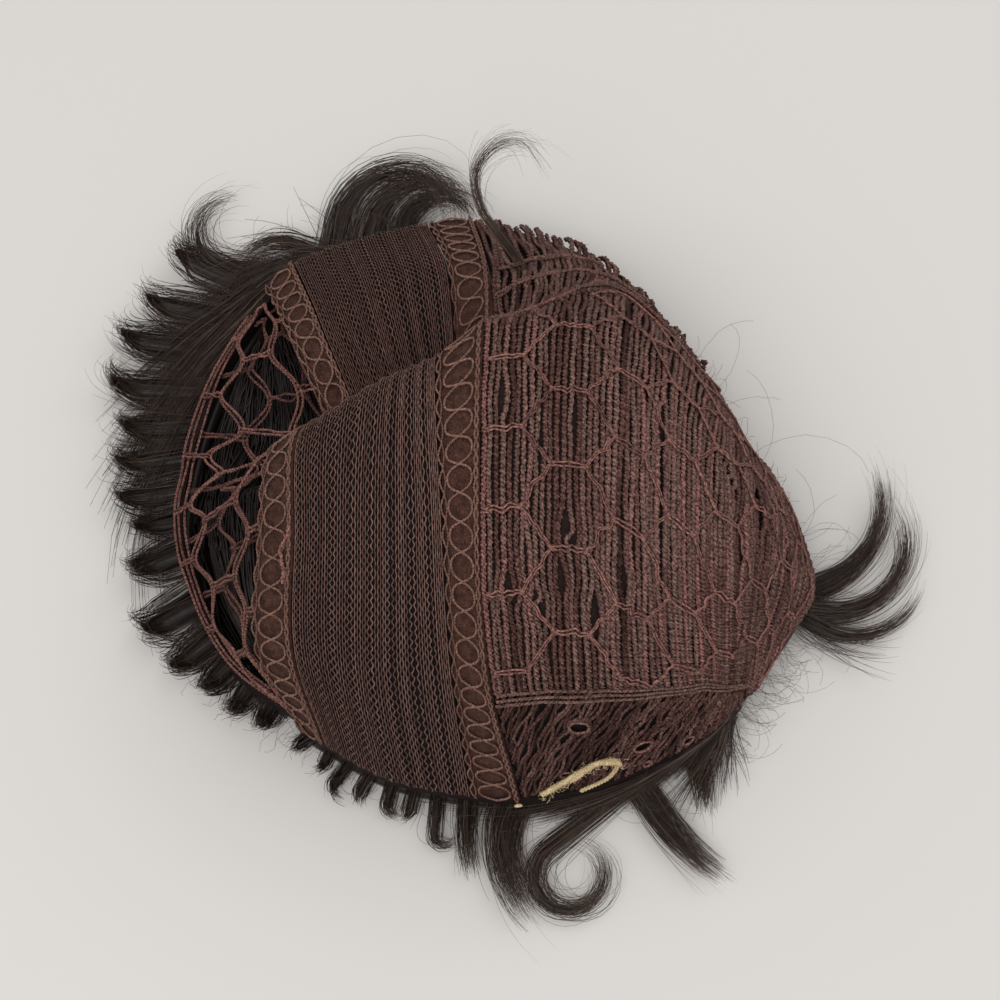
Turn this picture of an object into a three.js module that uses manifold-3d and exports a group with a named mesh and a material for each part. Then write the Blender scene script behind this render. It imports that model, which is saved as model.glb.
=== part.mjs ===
// Short curly wig, lying on a table with its cap turned inside out and its hair underneath.
// Millimetres, +Z up, table at z = 0, +X towards the tapered end, -Y the near side.
import * as THREE from "three";
import Module from "manifold-3d";

const wasm = await Module();
wasm.setup();

// Middle of the finished wig in the frame that the tables below are drawn in
const MIDDLE_X = 2.163;
const MIDDLE_Y = 2.7523;

// Walls and seams
const SEAM_GAP = 0.5;
const NET_WALL = 1.8;
const NET_STRAND = 2.4;
const NET_EDGE_GAP = 1;
const BAND_WALL = 1.8;
const MESH_WALL = 1.2;
const WEFT_WALL = 2.6;
const FLAP_WALL = 1.8;

// Rim tape and the hair backing under it
const TAPE_WALL = 2;
const TAPE_BOTTOM = 7.2;
const TAPE_DROP = 2.2;
const RIM_INSET = 0.8;
const BACKING_WALL = 4;
const BACKING_TOP = 6.8;
const LOCK_HEIGHT = 3.6;

// Hair inside the hollow, and the forelock that comes out through the far flap
const INSIDE_CLEARANCE = 4;
const SPINE_WIDTH = 11;
const RIB_THICK = 4;
const FORELOCK_CLEARANCE = 0.5;

// Knotted tie sewn on the near flap
const TIE_THICK = 1.8;
const TIE_CLEARANCE = 0.4;

// Colours, as red, green and blue from 0 to 1
const NET_COLOUR = [0.19, 0.1, 0.09];
const BAND_COLOUR = [0.24, 0.15, 0.12];
const MESH_COLOUR = [0.16, 0.11, 0.1];
const WEFT_COLOUR = [0.22, 0.15, 0.14];
const HAIR_COLOUR = [0.07, 0.05, 0.045];
const TIE_COLOUR = [0.74, 0.64, 0.5];

// Sections of the cap, one row per seam or panel line, from the net rim to the tapered tip.
// Each row runs over the cap from its near rim to its far rim.
const STATIONS = ["near", "shoulder", "crest", "lip", "valley", "terrace", "far"];
const CAP_ROWS = [
  {
    line: "net rim",
    near: [-60, -58, 16], shoulder: [-79, -43, 17], crest: [-92, -18, 18], lip: [-96, 2, 18],
    valley: [-93, 25, 18], terrace: [-86, 49, 17], far: [-74, 71, 16],
  },
  {
    line: "first lace band, outer edge",
    near: [-56, -63, 16], shoulder: [-66, -49, 54], crest: [-65, -26, 70], lip: [-63, 4, 66],
    valley: [-48, 16, 36], terrace: [-60, 48, 36], far: [-71, 76, 16],
  },
  {
    line: "first lace band, inner edge",
    near: [-50, -67, 16], shoulder: [-56, -51, 60], crest: [-55, -27, 78], lip: [-55, 7, 71],
    valley: [-41, 21, 37], terrace: [-52, 52, 38], far: [-63, 84, 16],
  },
  {
    line: "middle of the mesh panel",
    near: [-32, -77, 16], shoulder: [-35, -57, 66], crest: [-35, -27, 86], lip: [-34, 17, 79],
    valley: [-27, 29, 40], terrace: [-36, 62, 41], far: [-44, 92, 16],
  },
  {
    line: "second lace band, net side",
    near: [-8, -82, 16], shoulder: [-13, -58, 72], crest: [-15, -26, 92], lip: [-17, 22, 86],
    valley: [-13, 34, 48], terrace: [-15, 67, 44], far: [-22, 97, 17],
  },
  {
    line: "second lace band, weft side",
    near: [6, -83, 16], shoulder: [-3, -61, 75], crest: [-5, -27, 95], lip: [-4, 30, 87],
    valley: [-2, 42, 62], terrace: [-3, 66, 49], far: [-8, 98, 17],
  },
  {
    line: "weft panel at its full width",
    near: [32, -78, 16], shoulder: [27, -63, 70], crest: [25, -25, 95], lip: [27, 28, 88],
    valley: [29, 45, 74], terrace: [30, 64, 48], far: [30, 85, 16],
  },
  {
    line: "weft panel where it narrows",
    near: [60, -64, 16], shoulder: [55, -55, 52], crest: [52, -32, 84], lip: [54, 2, 78],
    valley: [57, 20, 62], terrace: [60, 35, 38], far: [62, 47, 16],
  },
  {
    line: "weft panel near the tip",
    near: [69, -55, 16], shoulder: [71, -44, 34], crest: [72, -31, 60], lip: [74, -14, 58],
    valley: [74, 1, 44], terrace: [74, 14, 30], far: [73, 24, 16],
  },
  {
    line: "tapered tip",
    near: [74, -49, 16], shoulder: [82, -37, 16], crest: [90, -25, 17], lip: [91, -17, 17],
    valley: [88, -4, 17], terrace: [84, 8, 16], far: [78, 18, 16],
  },
];
const LAST_ROW = CAP_ROWS.length - 1;

// Where the two flaps are seamed to the weft panel, as shares of each section
const FLAP_SEAMS = [
  { row: 5, near: 0.135, far: 0.53 },
  { row: 5.5, near: 0.15, far: 0.64 },
  { row: 6, near: 0.155, far: 0.71 },
  { row: 6.5, near: 0.15, far: 0.82 },
  { row: 7, near: 0.14, far: 1 },
  { row: 8, near: 0.06, far: 1 },
  { row: 8.4, near: 0, far: 1 },
  { row: 9, near: 0, far: 1 },
];
const WEFT_START = 5;
const NEAR_FLAP_END = 8;
const FAR_FLAP_END = 6.75;
const ROW_STEP = 0.25;

// Coarse net: hexagons across and along, and the share of the section that it fills
const NET = { across: 2, along: 7, start: 0.03, end: 0.97, edgeSteps: 3 };

// Hair locks along the rim. at: share of the rim, from the near net corner by the near side.
// lean: degrees from square to the rim. reach: straight run. radius and turn: the curl.
// roll: 0 curls flat on the table, 90 curls upwards. rise: climb of the lock along its length.
const NET_END_LOCKS = [
  { at: 0.655, lean: -20, reach: 6, radius: 11, turn: -150, roll: 10, rise: 3, width: 9, thick: 5 },
  { at: 0.674, lean: -25, reach: 10, radius: 14, turn: -150, roll: 10, rise: 5, width: 10, thick: 5 },
  { at: 0.695, lean: -32, reach: 15, radius: 17, turn: -165, roll: 10, rise: 7, width: 10, thick: 5 },
  { at: 0.68, lean: 51, reach: 18, radius: 11, turn: 97, roll: 0, rise: 3, width: 6, thick: 4 },
  { at: 0.7, lean: 58, reach: 28, radius: 10, turn: -170, roll: 0, rise: 5, width: 6, thick: 4 },
  { at: 0.728, lean: 15, reach: 26, radius: 7, turn: 170, roll: 80, rise: 2, width: 12, thick: 5 },
  { at: 0.747, lean: 18, reach: 26, radius: 7.5, turn: 170, roll: 85, rise: 2, width: 12, thick: 5 },
  { at: 0.767, lean: 20, reach: 27, radius: 7.5, turn: 170, roll: 90, rise: 2, width: 12, thick: 5 },
  { at: 0.79, lean: 20, reach: 21, radius: 9.5, turn: 190, roll: 90, rise: 2, width: 12, thick: 5 },
  { at: 0.811, lean: 20, reach: 15, radius: 8.5, turn: 170, roll: 90, rise: 2, width: 11, thick: 5 },
  { at: 0.829, lean: 20, reach: 14, radius: 8, turn: 170, roll: 90, rise: 2, width: 10, thick: 5 },
  { at: 0.848, lean: 20, reach: 12, radius: 7.5, turn: 170, roll: 90, rise: 2, width: 11, thick: 5 },
  { at: 0.866, lean: 15, reach: 6, radius: 7, turn: 160, roll: 90, rise: 2, width: 9, thick: 4 },
  { at: 0.884, lean: 15, reach: 7, radius: 7.5, turn: 170, roll: 90, rise: 2, width: 13, thick: 5 },
  { at: 0.914, lean: 12, reach: 9, radius: 7, turn: 170, roll: 90, rise: 2, width: 14, thick: 5 },
  { at: 0.935, lean: 12, reach: 7, radius: 6.5, turn: 170, roll: 90, rise: 2, width: 11, thick: 5 },
  { at: 0.953, lean: 10, reach: 4, radius: 5.5, turn: 170, roll: 90, rise: 2, width: 10, thick: 5 },
  { at: 0.969, lean: 10, reach: 3, radius: 5, turn: 170, roll: 90, rise: 2, width: 9, thick: 5 },
  { at: 0.985, lean: 10, reach: 2, radius: 4.5, turn: 170, roll: 90, rise: 2, width: 8, thick: 5 },
];
const NEAR_SIDE_LOCKS = [
  { at: 0.011, lean: 0, reach: 1.5, radius: 3, turn: 230, roll: 0, rise: 1, width: 5, thick: 4 },
  { at: 0.024, lean: 0, reach: 2.5, radius: 3, turn: 230, roll: 0, rise: 1, width: 5, thick: 4 },
  { at: 0.036, lean: 0, reach: 4, radius: 3.5, turn: 230, roll: 0, rise: 1, width: 6, thick: 4 },
  { at: 0.048, lean: 0, reach: 3.5, radius: 3.5, turn: 230, roll: 0, rise: 1, width: 5, thick: 4 },
  { at: 0.061, lean: 5, reach: 3, radius: 3.5, turn: 230, roll: 0, rise: 1, width: 5, thick: 4 },
  { at: 0.073, lean: 5, reach: 3.5, radius: 3.5, turn: 230, roll: 0, rise: 1, width: 5, thick: 4 },
  { at: 0.085, lean: 5, reach: 8, radius: 4, turn: 220, roll: 0, rise: 1, width: 5, thick: 4 },
  { at: 0.1, lean: 4, reach: 4, radius: 60, turn: 15, roll: 0, rise: 2, width: 5, thick: 4 },
  { at: 0.123, lean: -17, reach: 2, radius: 28, turn: 60, roll: 0, rise: 2, width: 10, thick: 5 },
  { at: 0.21, lean: -81, reach: 42, radius: 10.5, turn: 300, roll: 0, rise: 1, width: 5, thick: 4 },
  { at: 0.187, lean: 10, reach: 11, radius: 68, turn: 20, roll: 0, rise: 2, width: 7, thick: 5 },
  { at: 0.225, lean: -25, reach: 4, radius: 80, turn: -10, roll: 0, rise: 2, width: 6, thick: 4 },
];
const TAPER_END_LOCKS = [
  { at: 0.327, lean: 22, reach: 8, radius: 27, turn: 84, roll: 0, rise: 5, width: 7, thick: 4 },
  { at: 0.319, lean: 9, reach: 6, radius: 21, turn: 124, roll: 0, rise: 4, width: 6, thick: 4 },
  { at: 0.315, lean: -6, reach: 6, radius: 19, turn: 100, roll: 0, rise: 3, width: 4, thick: 4 },
];

// Backing strips that the locks are fused to, as shares of the rim
const FRINGES = [
  { name: "hair_net_end", from: 0.642, to: 0.994, locks: NET_END_LOCKS },
  { name: "hair_near_side", from: 0, to: 0.24, locks: NEAR_SIDE_LOCKS },
  { name: "hair_taper_end", from: 0.28, to: 0.345, locks: TAPER_END_LOCKS },
];

// Points along the forelock and along the tie
const FORELOCK_PATH = [
  { x: 8, y: 64, z: 50 },
  { x: 3, y: 69, z: 56 },
  { x: -2, y: 74, z: 60 },
  { x: -6, y: 81, z: 61 },
  { x: -7, y: 91, z: 63 },
  { x: -1, y: 99, z: 64 },
  { x: 7, y: 101, z: 62 },
  { x: 13, y: 94, z: 59 },
];
const FORELOCK_WIDTH = 5;
const FORELOCK_THICK = 3;
const TIE_PATH = [
  { row: 5.25, share: 0.012 },
  { row: 5.55, share: 0.03 },
  { row: 5.85, share: 0.05 },
  { row: 6.05, share: 0.045 },
  { row: 5.95, share: 0.02 },
  { row: 5.65, share: 0.008 },
];

// Rows of hair inside the hollow, each following one section of the cap
const RIBS = [
  { row: 0.25, start: 0.22, end: 0.82, width: 9, deeper: 0 },
  { row: 0.55, start: 0.2, end: 0.82, width: 11, deeper: 0 },
  { row: 1.5, start: 0.07, end: 0.93, width: 11, deeper: 0 },
  { row: 2.4, start: 0.07, end: 0.93, width: 11, deeper: 0 },
  { row: 3.3, start: 0.07, end: 0.93, width: 11, deeper: 0 },
  { row: 4.2, start: 0.07, end: 0.93, width: 11, deeper: 0 },
  { row: 5.1, start: 0.07, end: 0.93, width: 11, deeper: 0 },
  { row: 5.9, start: 0.07, end: 0.93, width: 11, deeper: 0 },
  { row: 6.7, start: 0.07, end: 0.93, width: 11, deeper: 0 },
];
const SPINE_SHARE = 0.3;

// Cap surface: a section through every row, then a curve across the rows
const sections = CAP_ROWS.map((row) => {
  const stations = STATIONS.map((station) => new THREE.Vector3(...row[station]));
  return new THREE.CatmullRomCurve3(stations);
});

function capPoint(row, share) {
  const across = new THREE.CatmullRomCurve3(sections.map((section) => section.getPoint(share)));
  return across.getPoint(row / LAST_ROW);
}

function capSlopes(row, share) {
  const step = 0.002;
  const lowRow = Math.max(0, row - step * LAST_ROW);
  const highRow = Math.min(LAST_ROW, row + step * LAST_ROW);
  const lowShare = Math.max(0, share - step);
  const highShare = Math.min(1, share + step);
  const acrossRows = capPoint(highRow, share).sub(capPoint(lowRow, share));
  const alongRow = capPoint(row, highShare).sub(capPoint(row, lowShare));
  acrossRows.divideScalar(highRow - lowRow);
  alongRow.divideScalar(highShare - lowShare);
  return { acrossRows, alongRow };
}

function capNormal(row, share) {
  const { acrossRows, alongRow } = capSlopes(row, share);
  return acrossRows.cross(alongRow).normalize();
}

function wallPoint(row, share, depth) {
  return capPoint(row, share).addScaledVector(capNormal(row, share), -depth);
}

function seamShare(row, side) {
  const after = FLAP_SEAMS.findIndex((seam) => seam.row >= row);
  const b = FLAP_SEAMS[Math.max(1, after)];
  const a = FLAP_SEAMS[Math.max(1, after) - 1];
  return THREE.MathUtils.mapLinear(row, a.row, b.row, a[side], b[side]);
}

// Faces gathered as points and triangles, joined into one closed solid
class Shell {
  constructor() {
    this.points = [];
    this.triangles = [];
  }

  add(point) {
    this.points.push(point.x, point.y, point.z);
    return this.points.length / 3 - 1;
  }

  triangle(a, b, c) {
    this.triangles.push(a, b, c);
  }

  quad(a, b, c, d) {
    this.triangle(a, b, c);
    this.triangle(a, c, d);
  }

  solid() {
    const mesh = new wasm.Mesh({
      numProp: 3,
      vertProperties: new Float32Array(this.points),
      triVerts: new Uint32Array(this.triangles),
    });
    mesh.merge();
    return new wasm.Manifold(mesh);
  }
}

// Cloth wall between two rows and between two shares of every section
function panel({ rows, shares, across, along, wall }) {
  const shell = new Shell();
  const outer = [];
  const inner = [];
  for (let i = 0; i <= across; i += 1) {
    outer.push([]);
    inner.push([]);
    for (let j = 0; j <= along; j += 1) {
      const rowHere = THREE.MathUtils.lerp(rows[0], rows[1], i / across);
      const first = shares[0](rowHere);
      const last = shares[1](rowHere);
      const shareHere = THREE.MathUtils.lerp(first, last, j / along);
      const { acrossRows, alongRow } = capSlopes(rowHere, shareHere);
      const rowTrim = (1 - (2 * i) / across) * (SEAM_GAP / 2 / acrossRows.length());
      const shareTrim = (1 - (2 * j) / along) * (SEAM_GAP / 2 / alongRow.length());
      const row = rowHere + rowTrim;
      const share = THREE.MathUtils.clamp(shareHere + shareTrim, 0, 1);
      outer[i].push(shell.add(capPoint(row, share)));
      inner[i].push(shell.add(wallPoint(row, share, wall)));
    }
  }
  for (let i = 0; i < across; i += 1) {
    for (let j = 0; j < along; j += 1) {
      shell.quad(outer[i][j], outer[i + 1][j], outer[i + 1][j + 1], outer[i][j + 1]);
      shell.quad(inner[i][j], inner[i][j + 1], inner[i + 1][j + 1], inner[i + 1][j]);
    }
    shell.quad(outer[i][0], inner[i][0], inner[i + 1][0], outer[i + 1][0]);
    shell.quad(outer[i + 1][along], inner[i + 1][along], inner[i][along], outer[i][along]);
  }
  for (let j = 0; j < along; j += 1) {
    shell.quad(outer[0][j], outer[0][j + 1], inner[0][j + 1], inner[0][j]);
    shell.quad(inner[across][j], inner[across][j + 1], outer[across][j + 1], outer[across][j]);
  }
  return shell.solid();
}

// Hexagon of the coarse net, clipped to the net's own edges
function netCell(column, line) {
  const x = column;
  const y = line + (column % 2 ? 0.5 : 0);
  let corners = [
    [x - 2 / 3, y], [x - 1 / 3, y - 0.5], [x + 1 / 3, y - 0.5],
    [x + 2 / 3, y], [x + 1 / 3, y + 0.5], [x - 1 / 3, y + 0.5],
  ];
  const edges = [
    { axis: 0, limit: 0, sign: 1 }, { axis: 0, limit: NET.across, sign: -1 },
    { axis: 1, limit: 0, sign: 1 }, { axis: 1, limit: NET.along, sign: -1 },
  ];
  for (const { axis, limit, sign } of edges) {
    const kept = [];
    corners.forEach((corner, index) => {
      const next = corners[(index + 1) % corners.length];
      const here = (corner[axis] - limit) * sign;
      const there = (next[axis] - limit) * sign;
      if (here >= 0) kept.push(corner);
      if (here * there < 0) {
        const t = here / (here - there);
        const cut = [0, 1].map((k) => THREE.MathUtils.lerp(corner[k], next[k], t));
        cut[axis] = limit;
        kept.push(cut);
      }
    });
    corners = kept;
  }
  if (corners.length < 3) return [];
  return corners.flatMap((corner, index) => {
    const next = corners[(index + 1) % corners.length];
    const steps = Array.from({ length: NET.edgeSteps }, (unused, step) => step / NET.edgeSteps);
    return steps.map((t) => [0, 1].map((k) => THREE.MathUtils.lerp(corner[k], next[k], t)));
  });
}

function netPoint(x, y, depth) {
  const share = THREE.MathUtils.lerp(NET.start, NET.end, y / NET.along);
  const trim = NET_EDGE_GAP / capSlopes(1, share).acrossRows.length();
  const row = (x / NET.across) * (1 - trim);
  return wallPoint(row, share, depth);
}

// Net of hexagons with a hole through every cell that is wide enough
function coarseNet() {
  const shell = new Shell();
  const known = new Map();
  const corner = (x, y, depth) => {
    const key = [x, y, depth].map((value) => value.toFixed(4)).join();
    if (!known.has(key)) known.set(key, shell.add(netPoint(x, y, depth)));
    return known.get(key);
  };
  const onEdge = (a, b) => [0, 1].some((axis) => [0, axis ? NET.along : NET.across].some(
    (limit) => Math.abs(a[axis] - limit) < 1e-6 && Math.abs(b[axis] - limit) < 1e-6,
  ));
  for (let column = 0; column <= NET.across; column += 1) {
    for (let line = 0; line <= NET.along; line += 1) {
      const cell = netCell(column, line);
      const count = cell.length;
      if (count === 0) continue;
      const x = cell.reduce((sum, point) => sum + point[0], 0) / count;
      const y = cell.reduce((sum, point) => sum + point[1], 0) / count;
      const middle = netPoint(x, y, 0);
      const reach = Math.min(...cell.map((point, index) => {
        const next = cell[(index + 1) % count];
        const side = new THREE.Line3(netPoint(...point, 0), netPoint(...next, 0));
        return side.closestPointToPoint(middle, true, new THREE.Vector3()).distanceTo(middle);
      }));
      const shrink = NET_STRAND / 2 / reach;
      const open = shrink < 0.6;
      const hole = cell.map((point) => [
        THREE.MathUtils.lerp(point[0], x, open ? shrink : 1),
        THREE.MathUtils.lerp(point[1], y, open ? shrink : 1),
      ]);
      for (let k = 0; k < count; k += 1) {
        const next = (k + 1) % count;
        const top = [cell[k], cell[next], hole[next], hole[k]].map((p) => corner(...p, 0));
        const under = [cell[k], cell[next], hole[next], hole[k]].map((p) => corner(...p, NET_WALL));
        if (open) {
          shell.quad(top[0], top[1], top[2], top[3]);
          shell.quad(under[0], under[3], under[2], under[1]);
          shell.quad(top[3], top[2], under[2], under[3]);
        } else {
          shell.triangle(top[0], top[1], top[2]);
          shell.triangle(under[0], under[2], under[1]);
        }
        if (onEdge(cell[k], cell[next])) shell.quad(top[1], top[0], under[0], under[1]);
      }
    }
  }
  return shell.solid();
}

// Rim of the cap, from the near net corner round by the near side
function rimLoop() {
  const points = [];
  for (let row = 0; row < LAST_ROW; row += 0.5) points.push(capPoint(row, 0));
  for (let share = 0; share < 1; share += 0.125) points.push(capPoint(LAST_ROW, share));
  for (let row = LAST_ROW; row > 0; row -= 0.5) points.push(capPoint(row, 1));
  for (let share = 1; share > 0; share -= 0.125) points.push(capPoint(0, share));
  return new THREE.CatmullRomCurve3(points, true);
}
const rim = rimLoop();
rim.arcLengthDivisions = 800;

function rimFrame(at) {
  const wrapped = at - Math.floor(at);
  const ahead = rim.getTangentAt(wrapped);
  const out = new THREE.Vector3(ahead.y, -ahead.x, 0).normalize();
  return { point: rim.getPointAt(wrapped), out };
}

// Upright strip that follows the rim, closed into a ring where it goes all the way round
function rimStrip({ from, to, wall, bottom, topAt, steps }) {
  const shell = new Shell();
  const closed = to - from === 1;
  const rings = [];
  const count = closed ? steps : steps + 1;
  for (let i = 0; i < count; i += 1) {
    const { point, out } = rimFrame(THREE.MathUtils.lerp(from, to, i / steps));
    const top = topAt(point.z);
    const outside = point.clone().addScaledVector(out, -RIM_INSET);
    const inside = point.clone().addScaledVector(out, -RIM_INSET - wall);
    rings.push([
      shell.add(outside.clone().setZ(bottom)), shell.add(outside.clone().setZ(top)),
      shell.add(inside.clone().setZ(top)), shell.add(inside.clone().setZ(bottom)),
    ]);
  }
  for (let i = 0; i < steps; i += 1) {
    const here = rings[i];
    const next = rings[(i + 1) % count];
    for (let k = 0; k < 4; k += 1) {
      const m = (k + 1) % 4;
      shell.quad(here[k], next[k], next[m], here[m]);
    }
  }
  if (!closed) {
    shell.quad(...rings[0]);
    shell.quad(...rings[count - 1].slice().reverse());
  }
  return shell.solid();
}

// Solid swept along points, with an oval section that narrows towards the tip
function sweep({ path, width, thick, tip, sides, up }) {
  const shell = new Shell();
  const rings = [];
  const normal = up.clone();
  path.forEach((point, index) => {
    const before = path[Math.max(0, index - 1)];
    const after = path[Math.min(path.length - 1, index + 1)];
    const ahead = after.clone().sub(before).normalize();
    normal.addScaledVector(ahead, -normal.dot(ahead)).normalize();
    const side = new THREE.Vector3().crossVectors(normal, ahead);
    const t = index / (path.length - 1);
    const scale = THREE.MathUtils.lerp(1, tip, t * t);
    const ring = [];
    for (let k = 0; k < sides; k += 1) {
      const angle = ((k + 0.5) / sides) * 2 * Math.PI;
      const place = point.clone();
      place.addScaledVector(side, (Math.cos(angle) * width * scale) / 2);
      place.addScaledVector(normal, (Math.sin(angle) * thick * scale) / 2);
      ring.push(shell.add(place));
    }
    rings.push(ring);
  });
  const start = shell.add(path[0]);
  const end = shell.add(path[path.length - 1]);
  for (let k = 0; k < sides; k += 1) {
    const m = (k + 1) % sides;
    for (let i = 0; i < rings.length - 1; i += 1) {
      shell.quad(rings[i][k], rings[i][m], rings[i + 1][m], rings[i + 1][k]);
    }
    shell.triangle(start, rings[0][m], rings[0][k]);
    shell.triangle(end, rings[rings.length - 1][k], rings[rings.length - 1][m]);
  }
  return shell.solid();
}

const UP = new THREE.Vector3(0, 0, 1);

// Path of one lock: out from the backing, then round its curl
function lockPath({ at, lean, reach, radius, turn, roll, rise }) {
  const { point, out } = rimFrame(at);
  const ahead = out.clone().applyAxisAngle(UP, THREE.MathUtils.degToRad(lean));
  const hand = Math.sign(turn);
  const flat = new THREE.Vector3(-ahead.y, ahead.x, 0).multiplyScalar(hand);
  const tilt = THREE.MathUtils.degToRad(roll);
  const bend = flat.multiplyScalar(Math.cos(tilt)).addScaledVector(UP, Math.sin(tilt));
  const root = point.clone().addScaledVector(out, -RIM_INSET - BACKING_WALL / 2).setZ(LOCK_HEIGHT);
  const run = reach + RIM_INSET + BACKING_WALL / 2;
  const sweepAngle = THREE.MathUtils.degToRad(Math.abs(turn));
  const curlSteps = Math.max(3, Math.round(Math.abs(turn) / 36));
  const path = [root.clone(), root.clone().addScaledVector(ahead, run / 2)];
  for (let i = 0; i <= curlSteps; i += 1) {
    const angle = (sweepAngle * i) / curlSteps;
    const place = root.clone().addScaledVector(ahead, run + radius * Math.sin(angle));
    place.addScaledVector(bend, radius * (1 - Math.cos(angle)));
    place.z += (rise * i) / curlSteps;
    path.push(place);
  }
  return path;
}

function fringe({ from, to, locks }) {
  const steps = Math.ceil((to - from) * 70);
  const topAt = () => BACKING_TOP;
  let solid = rimStrip({ from, to, wall: BACKING_WALL, bottom: 0, topAt, steps });
  for (const lock of locks) {
    const { width, thick } = lock;
    solid = solid.add(sweep({ path: lockPath(lock), width, thick, tip: 0.45, sides: 5, up: UP }));
  }
  return solid;
}

// Locks folded up inside the hollow, joined along one spine under the crown
function hairInside() {
  const depth = WEFT_WALL + INSIDE_CLEARANCE + RIB_THICK / 2;
  const steps = 12;
  const rib = ({ row, start, end, width, deeper }) => {
    const path = [];
    for (let i = 0; i <= steps; i += 1) {
      path.push(wallPoint(row, THREE.MathUtils.lerp(start, end, i / steps), depth + deeper));
    }
    return sweep({ path, width, thick: RIB_THICK, tip: 0.9, sides: 5, up: capNormal(row, start) });
  };
  const spinePath = [];
  for (let i = 0; i <= steps; i += 1) {
    const row = THREE.MathUtils.lerp(RIBS[0].row, RIBS[RIBS.length - 1].row, i / steps);
    spinePath.push(wallPoint(row, SPINE_SHARE, depth));
  }
  let solid = sweep({ path: spinePath, width: SPINE_WIDTH, thick: RIB_THICK, tip: 1, sides: 5, up: UP });
  for (const row of RIBS) solid = solid.add(rib(row));
  return solid;
}

function forelock(clearance) {
  const curve = new THREE.CatmullRomCurve3(FORELOCK_PATH.map(({ x, y, z }) => new THREE.Vector3(x, y, z)));
  const path = curve.getPoints(18);
  const width = FORELOCK_WIDTH + 2 * clearance;
  const thick = FORELOCK_THICK + 2 * clearance;
  return sweep({ path, width, thick, tip: 0.6, sides: 6, up: UP });
}

function tie() {
  const depth = -TIE_CLEARANCE - TIE_THICK / 2;
  const places = TIE_PATH.map(({ row, share }) => wallPoint(row, share, depth));
  const path = new THREE.CatmullRomCurve3(places).getPoints(16);
  return sweep({ path, width: TIE_THICK, thick: TIE_THICK, tip: 0.9, sides: 6, up: UP });
}

function toMesh(name, solid, colour, roughness) {
  const { vertProperties, triVerts } = solid.getMesh();
  const geometry = new THREE.BufferGeometry();
  geometry.setAttribute("position", new THREE.Float32BufferAttribute(vertProperties, 3));
  geometry.setIndex(new THREE.Uint32BufferAttribute(triVerts, 1));
  geometry.translate(-MIDDLE_X, -MIDDLE_Y, 0);
  geometry.computeVertexNormals();
  const material = new THREE.MeshStandardMaterial({
    color: new THREE.Color(...colour), roughness, metalness: 0,
  });
  const mesh = new THREE.Mesh(geometry, material);
  mesh.name = name;
  return mesh;
}

const wholeSection = [() => 0, () => 1];
const bandSize = { shares: wholeSection, across: 2, along: 28, wall: BAND_WALL };
const laceBandA = panel({ rows: [1, 2], ...bandSize });
const laceBandB = panel({ rows: [4, 5], ...bandSize });
const meshPanel = panel({ rows: [2, 4], shares: wholeSection, across: 5, along: 28, wall: MESH_WALL });
const nearSeam = (row) => seamShare(row, "near");
const farSeam = (row) => seamShare(row, "far");
const weftShares = [nearSeam, farSeam];
const weftSteps = (end) => ({ rows: [WEFT_START, end], across: (end - WEFT_START) / ROW_STEP });
const weftPanel = panel({ ...weftSteps(LAST_ROW), shares: weftShares, along: 16, wall: WEFT_WALL });
const nearShares = [() => 0, nearSeam];
const nearFlap = panel({ ...weftSteps(NEAR_FLAP_END), shares: nearShares, along: 4, wall: FLAP_WALL });
const farShares = [farSeam, () => 1];
const farCloth = panel({ ...weftSteps(FAR_FLAP_END), shares: farShares, along: 6, wall: FLAP_WALL });
const farFlap = farCloth.subtract(forelock(FORELOCK_CLEARANCE));
const tapeTop = (rimHeight) => rimHeight - TAPE_DROP;
const tapeSize = { from: 0, to: 1, wall: TAPE_WALL, bottom: TAPE_BOTTOM, topAt: tapeTop, steps: 64 };

const wig = new THREE.Group();
wig.name = "short_curly_wig";
wig.add(toMesh("coarse_net", coarseNet(), NET_COLOUR, 0.85));
wig.add(toMesh("lace_band_a", laceBandA, BAND_COLOUR, 0.85));
wig.add(toMesh("mesh_panel", meshPanel, MESH_COLOUR, 0.85));
wig.add(toMesh("lace_band_b", laceBandB, BAND_COLOUR, 0.85));
wig.add(toMesh("weft_panel", weftPanel, WEFT_COLOUR, 0.8));
wig.add(toMesh("near_flap", nearFlap, WEFT_COLOUR, 0.8));
wig.add(toMesh("far_flap", farFlap, WEFT_COLOUR, 0.8));
wig.add(toMesh("rim_tape", rimStrip(tapeSize), BAND_COLOUR, 0.8));
for (const part of FRINGES) wig.add(toMesh(part.name, fringe(part), HAIR_COLOUR, 0.5));
wig.add(toMesh("hair_forelock", forelock(0), HAIR_COLOUR, 0.5));
wig.add(toMesh("hair_inside", hairInside(), HAIR_COLOUR, 0.5));
wig.add(toMesh("tie_thread", tie(), TIE_COLOUR, 0.9));

export default wig;
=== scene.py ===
"""Short curly wig lying inside out: threads, lace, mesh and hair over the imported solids."""
import math
from collections import namedtuple

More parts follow.
